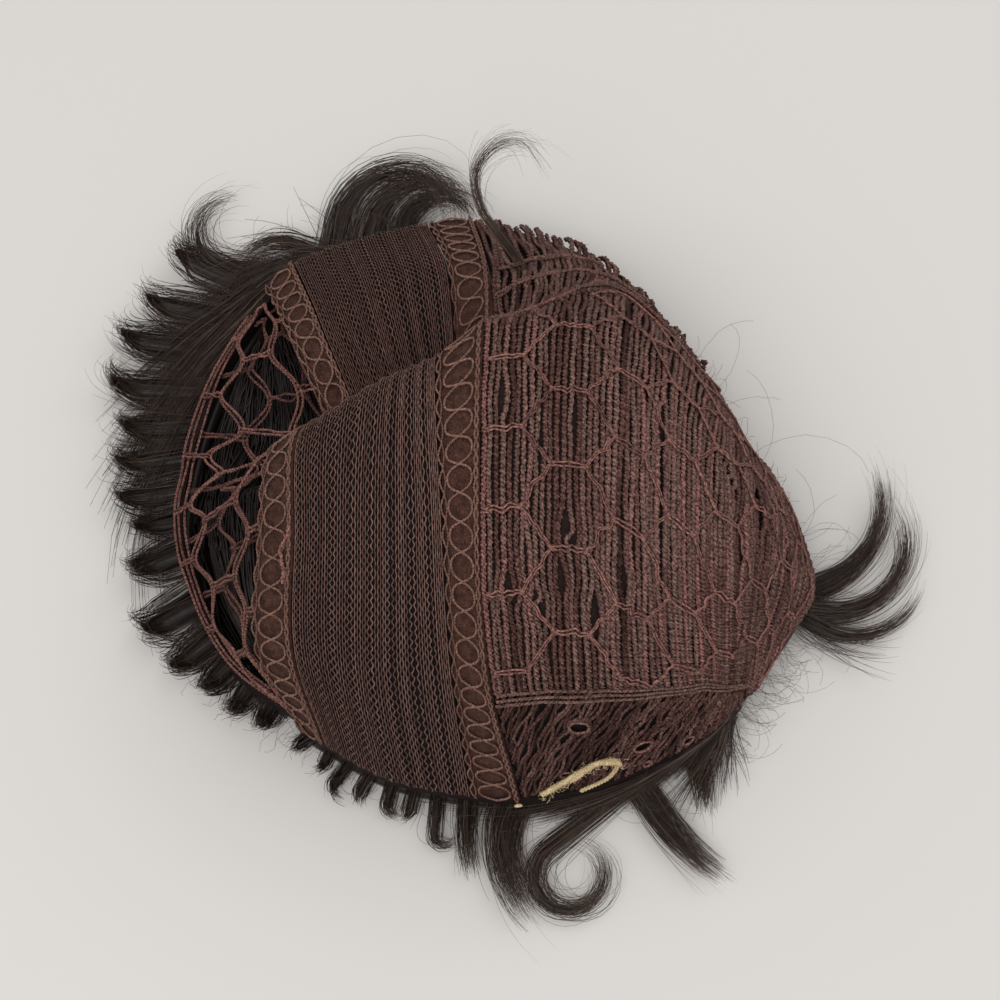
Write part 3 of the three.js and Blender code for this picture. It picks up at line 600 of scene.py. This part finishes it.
def mesh_panel():
    run = distances(cap(np.linspace(MESH_ROW, LACE_B_ROW, 80), 0.3))[-1]
    lines = mesh_spacing(run)
    cells = int(distances(cap(3.0, np.linspace(0, 1, 300)))[-1] / MESH_CELL)
    t = np.linspace(0, 1, cells * 4 + 1)
    wave = np.tanh(2.0 * np.sin(2 * np.pi * cells * t + 0.3))
    # Painted shade: the threads darken over the far part of the panel, which lies in a valley turned away
    # from the light
    far_painted_shade = 0.55 * np.clip((t - 0.55) / 0.12, 0, 1)
    ripple = [wander(t, 0.05, 3) for _ in range(5)]
    threads, shade_sheet = Bundle(), Bundle()
    for number, place in enumerate(lines):
        blend = place * (len(ripple) - 1)
        first = min(int(blend), len(ripple) - 2)
        drift = ripple[first] * (1 - blend + first) + ripple[first + 1] * (blend - first)
        row = MESH_FIRST + MESH_SPAN * place + drift * 0.5 * math.sin(math.pi * place)
        row = np.clip(row, *MESH_CLOTH)
        across = np.linalg.norm(cap_slopes(row, t)[0], axis=1) * MESH_SPAN
        left = lines[max(number - 1, 0)] - place
        right = lines[min(number + 1, len(lines) - 1)] - place
        side = wave * (1 if number % 2 else -1)
        room = np.maximum(across * np.where(side > 0, right, -left) / 2 - MESH_RADIUS, 0)
        lift = -0.1 - 0.25 * math.cos(2 * np.pi * place * run / MESH_RIPPLE)
        path, normal = lay(row, t, lift, side * room)
        shade = 0.5 + 0.3 * rng.normal() - far_painted_shade
        threads.tubes(path[None], MESH_RADIUS, normal[None], 3, shade[None])
    # Near-black sheet of painted shade under the mesh threads
    wall(shade_sheet, MESH_CLOTH, (near_rim, far_rim), (24, 90), *MESH_SHADE_SHEET)
    mesh_yarns = threads.make("mesh_threads", mesh_thread, "fine_mesh")
    mesh_shade_piece = shade_sheet.make("mesh_shade_sheet", painted_shade_cloth, "fine_mesh", ("mesh_panel",))


# Lace bands: ground cloth, crossing waves, a braided edge and a scalloped edge

LACE_PITCH, LACE_TWIST = 7.9, 1.8


def lace_band(name, first, node):
    ground, loops = Bundle(), Bundle()
    wall(ground, (first + 0.02, first + 0.98), (near_rim, far_rim), (6, 90), *LACE_GROUND)
    shares = np.linspace(0, 1, 400)
    run = distances(cap(first + 0.5, shares))
    repeats = round(run[-1] / LACE_PITCH)
    t = np.interp(np.linspace(0, run[-1], repeats * 16), run, shares)
    phase = np.linspace(0, np.pi * repeats, len(t))
    row = np.full_like(t, first + 0.5)
    width = np.linalg.norm(cap_slopes(row, t)[0], axis=1)

    def line(aside, lift, radius, tint):
        path, normal = lay(row, t, lift, aside)
        loops.cord(path, normal, radius, LACE_TWIST, tint)

    for way in (-1, 1):
        line(way * np.tanh(1.4 * np.sin(phase)) * width * 0.39, 0.15, 0.26, 0.75)
    for way in (-1, 1):
        line(width * 0.455 + way * 0.5 * np.sin(phase * 2.3), 0.2, 0.25, 0.5)
    scallop = np.abs(np.sin(phase))
    line(-width * 0.43 - 1.3 * scallop, 0.05, 0.22, 0.5)
    line(-width * 0.46 + 0.6 * scallop, 0.05, 0.18, 0.3)
    ground.make(name + "_ground", lace_cloth, "lace", (node,))
    loops.make(name + "_loops", lace_thread, "lace")


# Coarse net: zigzag threads that meet at short bars, in two layers

NET_ACROSS, NET_ALONG, NET_START, NET_END, NET_EDGE_ROW = 2, 7, 0.03, 0.97, 0.985
NET_RADIUS, NET_TWIST, BAR_REACH = 0.3, 2.4, 0.36
# Layers of the net: shift across, shift along, depth, looseness, tint
NET_LAYERS = [(0, 0, 0.8, 0.02, 0.7), (0.33, 0.45, 4.5, 0.03, 0.35)]
# Edge threads of the net: place across, depth
NET_EDGES = [(0.0, 0.8), (0.05, 1.6), (0.11, 2.6), (1.98, 0.8)]
# Stray thread on the seam of the first lace band: row, share
STRAY_THREAD = np.array([(1.97, 0.353), (1.8, 0.326), (1.8, 0.298), (1.91, 0.269)])


def net_line(bundle, across, along, depth, loose, tint):
    """Twisted cord through places of the net, counted in hexagons across and along it."""
    t = np.linspace(0, 1, len(along))
    x = np.clip(across + wander(t, loose, 6), 0, NET_ACROSS)
    y = np.clip(along + wander(t, loose, 6), 0, NET_ALONG)
    share = NET_START + (NET_END - NET_START) * y / NET_ALONG
    path, normal = lay(NET_EDGE_ROW * x / NET_ACROSS, share, -depth + wander(t, 0.15))
    tint = np.clip(tint + 0.15 * rng.normal(), 0, 1)
    bundle.cord(path, normal, NET_RADIUS, NET_TWIST, tint, 4)


def coarse_net():
    net = Bundle()
    along = np.linspace(0, NET_ALONG, 150)
    for shift_x, shift_y, depth, loose, tint in NET_LAYERS:
        for column in range(NET_ACROSS):
            swing = np.cos(2 * np.pi * (along - shift_y)) * (-1) ** column / 6
            for apart in (-0.03, 0.03):
                across = column + 0.5 + shift_x + swing + apart
                net_line(net, across, along, depth + 5 * abs(apart), loose, tint)
        for column in range(NET_ACROSS + 1):
            middle = column + shift_x
            across = np.linspace(*np.clip([middle - BAR_REACH, middle + BAR_REACH], 0, NET_ACROSS), 10)
            for place in np.arange(0.5 - 0.5 * (column % 2), NET_ALONG + 0.1, 1.0):
                for apart in (-0.025, 0.025):
                    line = np.full(10, np.clip(place + shift_y + apart, 0, NET_ALONG))
                    net_line(net, across, line, depth, 0.01, tint)
    for edge, depth in NET_EDGES:
        net_line(net, np.full(len(along), edge), along, depth, 0.015, 0.55)
    t = np.linspace(0, 1, 30)
    row, share = (np.interp(t, np.linspace(0, 1, len(STRAY_THREAD)), STRAY_THREAD[:, k]) for k in (0, 1))
    net.cord(*lay(row, share, 1.2, wander(t, 0.4)), 0.32, NET_TWIST, 0.95, 5)
    net.make("coarse_net_cords", net_thread, "net_thread", ("coarse_net",))


# Locks of hair round the rim

# Columns: share of the rim, lean, reach, radius and turn of the curl, roll, rise, width, thickness, strands
Lock = namedtuple("Lock", "at lean reach curl turn roll rise width thick count")
NET_END_LOCKS = [
    (0.655, -20, 6, 11, -150, 10, 3, 9, 5, 110), (0.674, -25, 10, 14, -150, 10, 5, 10, 5, 120),
    (0.695, -32, 15, 17, -165, 10, 7, 10, 5, 130), (0.68, 51, 18, 11, 97, 0, 3, 6, 4, 60),
    (0.7, 58, 28, 10, -170, 0, 5, 6, 4, 60), (0.728, 15, 26, 7, 170, 80, 2, 12, 5, 100),
    (0.747, 18, 26, 7.5, 170, 85, 2, 12, 5, 100), (0.767, 20, 27, 7.5, 170, 90, 2, 12, 5, 100),
    (0.79, 20, 21, 9.5, 190, 90, 2, 12, 5, 100), (0.811, 20, 15, 8.5, 170, 90, 2, 11, 5, 100),
    (0.829, 20, 14, 8, 170, 90, 2, 10, 5, 100), (0.848, 20, 12, 7.5, 170, 90, 2, 11, 5, 100),
    (0.866, 15, 6, 7, 160, 90, 2, 9, 4, 80), (0.884, 15, 7, 7.5, 170, 90, 2, 13, 5, 110),
    (0.914, 12, 9, 7, 170, 90, 2, 14, 5, 110), (0.935, 12, 7, 6.5, 170, 90, 2, 11, 5, 100),
    (0.953, 10, 4, 5.5, 170, 90, 2, 10, 5, 90), (0.969, 10, 3, 5, 170, 90, 2, 9, 5, 80),
    (0.985, 10, 2, 4.5, 170, 90, 2, 8, 5, 80),
]
NEAR_SIDE_LOCKS = [
    (0.1, 4, 4, 60, 15, 0, 2, 5, 4, 90), (0.123, -17, 2, 28, 60, 0, 2, 10, 5, 200),
    (0.21, -81, 42, 9.6, 300, 0, 1, 4, 4, 90), (0.187, 10, 11, 68, 20, 0, 2, 7, 5, 170),
    (0.225, -25, 4, 80, -10, 0, 2, 6, 4, 100),
]
TAPER_END_LOCKS = [
    (0.327, 22, 8, 27, 84, 0, 5, 7, 4, 120), (0.319, 9, 6, 21, 124, 0, 4, 6, 4, 110),
    (0.315, -6, 6, 19, 100, 0, 3, 4, 4, 70),
]
# Short tufts of the near side, some of them loops: share of the rim, lean, reach, radius, turn
TUFTS = [
    (0.011, -10, 1.5, 5, 40), (0.024, 8, 2.5, 5, -40), (0.036, -5, 5, 3, 120), (0.048, 0, 4, 5, 45),
    (0.061, 5, 4, 3, 120), (0.073, 0, 4.5, 5, -35), (0.085, 5, 9.5, 3, 170),
]
TUFT_BODY = (0, 1, 4.2, 3, 56)
UPRIGHT_ROLL, RING_TURN = 80, 180
# Styles of locks: how wide at root and tip, how loose, tint, range of the turn, fray, points along it
UPRIGHT_STYLE = dict(root=1.4, tip=1.0, loose=0.8, ends=(0.35, 0.75), fray=0.6)
TUFT_STYLE = dict(root=1.1, tip=0.9, ends=(0.5, 1), fray=0.5)
RING_STYLE = dict(root=1.2, tip=0.9, loose=0.6, tone=0.55, ends=(0.75, 1.05), fray=0.6, steps=20)
SIDE_STYLE = dict(root=1.35, tip=1.35, loose=0.9, tone=0.5, ends=(0.85, 1.0), fray=0.6)
TAPER_STYLE = dict(root=1.4, tip=0.8, loose=0.6, tone=0.5, ends=(0.75, 1.0), fray=0.5, steps=16)
# Sleek hair: first and last share of the rim, distance out at the end, height, strands, spread, tint
NET_END_SWEEPS = [(0.665, 0.79, 17, 10, 310, 8, 0.5), (0.70, 0.83, 12, 8, 250, 7, 0.5)]
NEAR_SIDE_SWEEPS = [
    (0.255, 0.165, 2, 14, 130, 3, 0.62), (0.25, 0.215, 9, 12, 110, 5, 0.6),
    (0.19, 0.12, 0.5, 7, 50, 1.5, 0.5),
]
RIM_INSET, ROOT_SHADE_WALL, LOCK_HEIGHT = 0.8, 4.0, 3.6
FLOOR_GAP, CORE_GAP, CORE_SIDES, SWEEP_START = 0.25, 0.2, 6, -1


def rim_points():
    near = cap(np.arange(0, LAST_ROW, 0.5), 0)
    tip = cap(LAST_ROW, np.arange(0, 1, 0.125))
    far = cap(np.arange(LAST_ROW, 0, -0.5), 1)
    end = cap(0, np.arange(1, 0, -0.125))
    loop = np.concatenate([near, tip, far, end])
    wrapped = np.concatenate([loop[-3:], loop, loop[:4]])
    t = (3 + np.linspace(0, len(loop), 3000)) / (len(wrapped) - 1)
    return spline(wrapped[:, None], t)


rim_line = rim_points()
rim_run = distances(rim_line)


def rim_place(run):
    """Point of the rim at a distance along it."""
    return np.stack([np.interp(run, rim_run, rim_line[:, k]) for k in range(3)], -1)


def rim_frame(at):
    """Rim point and outward direction, from above, at a share of the rim."""
    run = (np.asarray(at, float) % 1) * rim_run[-1]
    point = rim_place(run)
    ahead = rim_place((run + 0.5) % rim_run[-1]) - point
    out = unit(np.stack([ahead[..., 1], -ahead[..., 0], 0 * run], -1))
    return point, out


def lock_paths(at, lean, reach, radius, turn, roll, rise, steps=13):
    """Paths of locks out from the rim and round their curls, for arrays of values."""
    point, out = rim_frame(at)
    lean, roll = np.radians(lean), np.radians(roll)
    ahead = np.stack([out[:, 0] * np.cos(lean) - out[:, 1] * np.sin(lean),
                      out[:, 0] * np.sin(lean) + out[:, 1] * np.cos(lean), 0 * lean], -1)
    flat = np.stack([-ahead[:, 1], ahead[:, 0], 0 * lean], -1) * np.sign(turn)[:, None]
    bend = flat * np.cos(roll)[:, None] + UP * np.sin(roll)[:, None]
    root = point - out * (RIM_INSET + ROOT_SHADE_WALL / 2)
    root[:, 2] = LOCK_HEIGHT
    run = reach + RIM_INSET + ROOT_SHADE_WALL / 2
    t = np.linspace(0, 1, steps - 2)
    angle = np.radians(np.abs(turn))[:, None] * t
    curl = root[:, None] + ahead[:, None] * (run[:, None] + radius[:, None] * np.sin(angle))[..., None]
    curl = curl + bend[:, None] * (radius[:, None] * (1 - np.cos(angle)))[..., None]
    curl[..., 2] += rise[:, None] * t
    straight = root[:, None] + ahead[:, None] * (run[:, None] * np.array([0, 0.5]))[..., None]
    return np.concatenate([straight, curl], 1)


def carry(paths):
    """Side and normal directions carried along each path."""
    ahead = unit(np.gradient(paths, axis=1))
    normals = np.empty_like(paths)
    now = np.broadcast_to(UP, paths[:, 0].shape).astype(float)
    for k in range(paths.shape[1]):
        now = unit(now - ahead[:, k] * (now * ahead[:, k]).sum(1, keepdims=True))
        normals[:, k] = now
    return np.cross(normals, ahead), normals


def disc(count):
    """Random places in a round section."""
    angle, away = 2 * np.pi * rng.random(count), np.sqrt(rng.random(count))
    return away * np.cos(angle), away * np.sin(angle)


def strands(bundle, paths, width, thick, radius, fray, root=1.5, tip=0.8, clumps=6, tint=0.45):
    """Fibres round copies of a path, drawn into clumps and fraying towards the tip."""
    count, steps, _ = paths.shape
    side, normal = carry(paths)
    a, b = disc(count)
    clump_a, clump_b = disc(clumps)
    group = rng.integers(0, clumps, count)
    t = np.linspace(0, 1, steps)
    pull = 0.6 * t ** 1.5
    scale = root + (tip - root) * np.minimum(1, 1.4 * t)
    aside = (a[:, None] * (1 - pull) + clump_a[group][:, None] * pull) * scale * width / 2
    above = (b[:, None] * (1 - pull) + clump_b[group][:, None] * pull) * thick / 2
    points = paths + side * aside[..., None] + normal * above[..., None]
    points = points + rng.normal(size=(count, 1, 3)) * fray * (t ** 3)[None, :, None] * [1, 1, 0.6]
    points[..., 2] = np.maximum(points[..., 2], FLOOR_GAP)
    taper = radius * (1 - 0.75 * t ** 2)
    bundle.tubes(points, taper, normal, 3, tint + rng.normal(size=(count, 1)) * 0.2 + 0.25 * t ** 2)


def lock_core(bundle, paths, width, thick):
    """Dark middle of a lock, up to where it opens out: hair mass tinted darker than the strands, as painted
    shade inside the lock.
    """
    paths = paths[:, :2 * paths.shape[1] // 3]
    side, normal = carry(paths)
    angle = 2 * np.pi * (np.arange(CORE_SIDES) + 0.5) / CORE_SIDES
    steps = paths.shape[1]
    scale = (0.6 - 0.55 * np.linspace(0, 1, steps) ** 2)[:, None]
    ring = paths[0][:, None] + side[0][:, None] * (np.cos(angle) * width / 2 * scale)[..., None]
    ring = ring + normal[0][:, None] * (np.sin(angle) * thick / 2 * scale)[..., None]
    ring[..., 2] = np.maximum(ring[..., 2], CORE_GAP)
    bundle.add(ring.reshape(-1, 3), ring_faces(1, steps, CORE_SIDES), 0.05)


def lock(bundle, row, root=1.3, tip=0.8, loose=1.0, tone=0.42, ends=(1.0, 1.0), fray=1.2, steps=13):
    """Strands of one lock round a dark core, with a few that stray; ends is the range of turn they reach."""
    shape = Lock(*row)
    middle = [np.array([float(value)]) for value in shape[:7]]
    lock_core(bundle, lock_paths(*middle, steps), shape.width, shape.thick)
    # Share of the strands, looseness, radius, tint
    for share, spread, size, tint in ((0.8, loose, 0.125, tone), (0.25, 2.2 * loose, 0.07, tone + 0.35)):
        many = int(shape.count * share)
        vary = rng.normal(size=(5, many)) * spread
        reached = ends[0] + (ends[1] - ends[0]) * rng.random(many)
        paths = lock_paths(
            shape.at + 0.0006 * vary[0], shape.lean + 2.5 * vary[1], shape.reach * (1 + 0.05 * vary[2]),
            shape.curl * np.maximum(0.4, 1 + 0.08 * vary[3]),
            shape.turn * np.maximum(0.3, 1 + 0.07 * vary[4]) * reached,
            np.full(many, float(shape.roll)), shape.rise + 0.8 * np.abs(vary[0]), steps)
        strands(bundle, paths, shape.width, shape.thick, size, fray * spread, root, tip, tint=tint)


def root_shade_strip(bundle, start, end, top=6.6, tint=0.05):
    """Strip under the rim where the roots are sewn, tinted dark as painted shade under the rim."""
    point, out = rim_frame(np.linspace(start, end, 60))
    outside, inside = point - out * RIM_INSET, point - out * (RIM_INSET + ROOT_SHADE_WALL)
    low = np.stack([outside * [1, 1, 0], inside * [1, 1, 0]])
    bundle.sheet(low + UP * top, low, tint)


def sweep_hair(bundle, start, end, out_end, height, count, spread, tone):
    """Sleek hair that runs along the rim before it curls."""
    t = np.linspace(0, 1, 12)
    begin = start + (end - start) * 0.35 * rng.random(count)[:, None]
    finish = end + (end - start) * 0.3 * rng.normal(size=count)[:, None]
    point, out = rim_frame(begin + (finish - begin) * t)
    bend = 0.5 + 0.9 * rng.random(count)[:, None]
    away = SWEEP_START + (out_end - SWEEP_START) * bend * t ** 1.6
    away = away + spread * rng.random(count)[:, None] * (0.3 + 0.7 * t)
    paths = point + out * away[..., None]
    paths[..., 2] = height * (1 - 0.5 * t) * (0.35 + 0.65 * rng.random(count)[:, None]) + 0.4
    bundle.tubes(paths, 0.13 * (1 - 0.6 * t ** 2), UP, 3, np.clip(tone + rng.normal(size=count) * 0.2, 0, 1))


def net_end_hair():
    hair, sleek = Bundle(), Bundle()
    for row in NET_END_LOCKS:
        if Lock(*row).roll >= UPRIGHT_ROLL:
            lock(hair, row, **UPRIGHT_STYLE)
        else:
            lock(hair, row)
    root_shade_strip(hair, 0.642, 0.994)
    for sweep in NET_END_SWEEPS:
        sweep_hair(sleek, *sweep)
    sleek.make("hair_sleek", hair_fibre, "hair")
    hair.make("hair_net_end_strands", hair_fibre, "hair", ("hair_net_end",))


def near_side_hair():
    hair = Bundle()
    for curl in TUFTS:
        lock(hair, curl + TUFT_BODY, **TUFT_STYLE)
    for row in NEAR_SIDE_LOCKS:
        style = RING_STYLE if Lock(*row).turn > RING_TURN else SIDE_STYLE
        lock(hair, row, **style)
    # Lower, browner strip of painted shade under the near rim
    root_shade_strip(hair, 0.0, 0.24, 3.0, 0.2)
    for sweep in NEAR_SIDE_SWEEPS:
        sweep_hair(hair, *sweep)
    hair.make("hair_near_side_strands", hair_fibre, "hair", ("hair_near_side",))


def taper_end_hair():
    hair = Bundle()
    for row in TAPER_END_LOCKS:
        lock(hair, row, **TAPER_STYLE)
    root_shade_strip(hair, 0.28, 0.345)
    # Wisps between the locks and the near side
    count = 36
    vary = rng.normal(size=(4, count))
    wisps = lock_paths(
        0.313 + 0.002 * vary[0], -8 + 7 * vary[1], 5 + 1.5 * vary[2], 32 + 5 * vary[3],
        np.full(count, 34.0), np.zeros(count), 1 + np.abs(vary[0]))
    strands(hair, wisps, 4, 4, 0.1, 1.2)
    hair.make("hair_taper_end_strands", hair_fibre, "hair", ("hair_taper_end",))


# Forelock, the hair inside the hollow and loose single hairs

FORELOCK_PATH = np.array([
    (8, 64, 50), (3, 69, 56), (-2, 74, 60), (-6, 81, 61),
    (-7, 91, 63), (-1, 99, 64), (7, 101, 62), (13, 94, 59),
], dtype=float)
# Strands of the forelock: how many, spread, radius
FORELOCK_STRANDS = [(40, 0.6, 0.09), (34, 2.6, 0.055)]
# Rows of the inside hair: row, first share, last share, spread in rows, depth, strands
NET_END_RIBS = [(0.22, 8.6), (0.42, 9), (0.6, 9.5), (0.85, 11)]
RIB_ROWS = [1.5, 2.4, 3.3, 4.2, 5.1, 5.9, 6.7]
INSIDE_ROWS = [(row, 0.1, 0.95, 0.12, depth, 80) for row, depth in NET_END_RIBS]
INSIDE_ROWS += [(row, 0.07, 0.93, 0.2, 8.6, 60) for row in RIB_ROWS]
INSIDE_RADIUS, FLOOR_STRANDS, FLOOR_RADIUS = 0.4, 120, 0.55
# Loose hairs: first and last share of the rim, how many, reach, curl
LOOSE_HAIRS = [
    (0.17, 0.30, 170, 3.5, 8), (0.30, 0.36, 40, 7, 10), (0.36, 0.48, 70, 2, 4), (0.48, 0.64, 20, 1.5, 3),
    (0.64, 0.74, 130, 8, 8), (0.74, 1.0, 110, 8, 5), (0.0, 0.17, 90, 3, 5), (0.2, 0.48, 7, 9, 18),
]
LOOSE_LOW, LOOSE_HIGH = np.array([-126, -122, 0.3]), np.array([126, 122, 100])
LOOSE_RADIUS = 0.045


def forelock():
    hair = Bundle()
    t = np.linspace(0, 1, 16)
    opening = np.maximum(0, t - 0.3) ** 2
    for count, spread, radius in FORELOCK_STRANDS:
        reach = 0.72 + 0.3 * rng.random(count)
        roots = np.linspace(0, 0.2, count)
        ends = zip(roots, reach)
        paths = np.stack([spline(FORELOCK_PATH[:, None], root + t * (tip - root)) for root, tip in ends])
        paths += rng.normal(size=(count, 1, 3)) * (spread * 2.2 * opening)[None, :, None] * [2, 1.2, 1]
        strands(hair, paths, 3.0, 2.0, radius, 1.5, root=1.0, tip=1.2, clumps=5, tint=0.68)
    hair.make("hair_forelock_strands", hair_fibre, "hair", ("hair_forelock",))


def inside_hair():
    hair = Bundle()
    t = np.linspace(0, 1, 12)
    for rib, start, end, spread, depth, count in INSIDE_ROWS:
        for _ in range(count):
            row = np.clip(rib + np.clip(rng.normal(), -1.6, 1.6) * spread + wander(t, 0.03), 0.12, 7.2)
            share = start + (end - start) * t * (0.8 + 0.2 * rng.random())
            path, normal = lay(row, share, -depth + np.clip(rng.normal(), -1.6, 1.6))
            # Hair inside the hollow, tinted darker than the other hair as painted shade of the hollow
            hair.tubes(path[None], INSIDE_RADIUS, normal[None], 3, 0.1)
    # Strands on the floor inside the net end, also tinted near black as painted shade of the hollow
    for _ in range(FLOOR_STRANDS):
        start, end = 0.645 + 0.1 * rng.random(), 0.995 - 0.1 * rng.random()
        point, out = rim_frame(start + (end - start) * t)
        deep = np.maximum(3.2, 3.4 + 32 * rng.random() ** 1.5 + wander(t, 1.2, 2))
        path = point - out * deep[:, None]
        path[:, 2] = 1 + 5 * rng.random()
        hair.tubes(path[None], FLOOR_RADIUS, UP, 3, 0.05)
    hair.make("hair_inside_strands", hair_fibre, "hair", ("hair_inside",))


def loose_hair():
    hair = Bundle()
    for start, end, count, reach, curl in LOOSE_HAIRS:
        at = start + (end - start) * rng.random(count)
        turn = (25 + 90 * rng.random(count)) * rng.choice([-1, 1], count)
        paths = lock_paths(
            at, 35 * rng.normal(size=count), reach * (0.4 + 0.9 * rng.random(count)),
            curl * (0.5 + 0.8 * rng.random(count)), turn, 60 * rng.random(count), 7 * rng.random(count), 9)
        paths += np.cumsum(rng.normal(size=paths.shape) * 0.2, axis=1)
        paths = np.clip(paths, LOOSE_LOW + MIDDLE, LOOSE_HIGH + MIDDLE)
        hair.tubes(paths, LOOSE_RADIUS, UP + 0.2, 3, np.clip(0.75 + 0.25 * rng.random(count), 0, 1))
    hair.make("hair_loose", hair_fibre, "hair")


# Tie of cream yarn and the rim tape

# Path of the tie: row, share
TIE_PATH = [(5.25, 0.012), (5.55, 0.03), (5.85, 0.05), (6.05, 0.045), (5.95, 0.02), (5.65, 0.008)]
TIE_STEPS, TIE_THICK_STEPS, FLUFF_COUNT = 60, 38, 260


def tie_thread():
    tie = Bundle()
    t = np.linspace(0, 1, TIE_STEPS)
    places = np.concatenate([lay(row, share, 1.4)[0] for row, share in TIE_PATH])
    line = spline(places[:, None], t)
    up = np.tile(lay(5.7, 0.03)[1], (TIE_STEPS, 1))
    tie.cord(line, up, 0.42, 2.0, 0.6, 5, 4)
    # Two loose yarns over the thick part, with fluff
    thick, thick_up = line[:TIE_THICK_STEPS], up[:TIE_THICK_STEPS]
    for shift in (0.0, 1.1):
        wobble = np.stack([wander(t[:TIE_THICK_STEPS], 0.3) for _ in range(3)], 1)
        fuzzy = thick + thick_up * (0.5 + shift * 0.4) + wobble
        tie.cord(fuzzy + np.array([0, 0.6, 0.4]) * shift, thick_up, 0.5, 1.8, 0.8, 5, 4)
    fluff = line[rng.integers(0, 40, FLUFF_COUNT)][:, None] + up[0] * 0.6
    fluff = fluff + rng.normal(size=(FLUFF_COUNT, 1, 3)) * 0.75
    fluff = fluff + np.cumsum(rng.normal(size=(FLUFF_COUNT, 5, 3)) * 0.28, axis=1)
    tie.tubes(fluff, 0.07, UP + 0.2, 3, 0.9)
    # Single stitch at the end of the second lace band
    t = np.linspace(-0.99, 0.99, 9)
    stitch = cap(LACE_B_ROW + 0.95, 0)[0] + np.array([0, -0.9, -2.5])
    stitch = stitch + t[:, None] * [1.2, 0, 0.5] - (t ** 2)[:, None] * [0, 0, 0.6]
    tie.tubes(stitch[None], 0.55 * np.sqrt(1 - t ** 2), UP, 8, 1.0)
    tie.make("tie_yarn", tie_yarn, "tie", ("tie_thread",))


def rim_tape():
    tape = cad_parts["rim_tape"]
    tape.data.materials.clear()
    tape.data.materials.append(tape_cloth)


# Floor, light and camera

FLOOR_REACH = 3
CAMERA_ELEVATION, CAMERA_DISTANCE, FOCAL_PIXELS = math.radians(70), 0.7, 2450
SENSOR_WIDTH, PICTURE_WIDTH = 36, 1000
LIGHT_AIM = (0, 0, 0.03)


def lay_floor():
    material = bpy.data.materials.new("floor")
    material.use_nodes = True
    shader = material.node_tree.nodes["Principled BSDF"]
    shader.inputs["Base Color"].default_value = (0.74, 0.715, 0.69, 1)
    shader.inputs["Roughness"].default_value = 0.9
    shader.inputs["Specular IOR Level"].default_value = 0.1
    corners = [(x * FLOOR_REACH, y * FLOOR_REACH, 0) for x, y in ((-1, -1), (1, -1), (1, 1), (-1, 1))]
    mesh = bpy.data.meshes.new("floor")
    mesh.from_pydata(corners, [], [(0, 1, 2, 3)])
    mesh.materials.append(material)
    floor = bpy.data.objects.new("floor", mesh)
    bpy.context.scene.collection.objects.link(floor)


def area_light(name, place, size, power):
    light = bpy.data.lights.new(name, "AREA")
    light.size, light.energy = size, power
    lamp = bpy.data.objects.new(name, light)
    lamp.location = place
    lamp.rotation_euler = Vector(np.array(LIGHT_AIM) - np.array(place)).to_track_quat("-Z", "Y").to_euler()
    bpy.context.scene.collection.objects.link(lamp)


def light_studio():
    world = bpy.data.worlds.new("studio")
    world.use_nodes = True
    background = world.node_tree.nodes["Background"]
    background.inputs["Color"].default_value = (1, 0.99, 0.975, 1)
    background.inputs["Strength"].default_value = 0.55
    bpy.context.scene.world = world
    bpy.context.scene.view_settings.view_transform = "Standard"
    area_light("key", (-0.3, -0.6, 1.3), 0.9, 8)
    area_light("fill", (0.6, 0.5, 1.3), 1.2, 4.5)


def place_camera():
    aim = np.array([0, 0, 0.035]) - MIDDLE * MM
    back = np.array([0, -math.cos(CAMERA_ELEVATION), math.sin(CAMERA_ELEVATION)])
    lens = bpy.data.cameras.new("camera")
    lens.sensor_width = SENSOR_WIDTH
    lens.lens = SENSOR_WIDTH * FOCAL_PIXELS / PICTURE_WIDTH
    camera = bpy.data.objects.new("camera", lens)
    camera.location = aim + CAMERA_DISTANCE * back
    camera.rotation_euler = (math.radians(90) - CAMERA_ELEVATION, 0, 0)
    bpy.context.scene.collection.objects.link(camera)
    bpy.context.scene.camera = camera


# The pieces, then the floor, light and camera
weft_panel()
net_over_wefts()
near_flap()
far_flap()
mesh_panel()
lace_band("lace_a", LACE_A_ROW, "lace_band_a")
lace_band("lace_b", LACE_B_ROW, "lace_band_b")
coarse_net()
net_end_hair()
near_side_hair()
taper_end_hair()
forelock()
inside_hair()
loose_hair()
tie_thread()
rim_tape()
lay_floor()
light_studio()
place_camera()
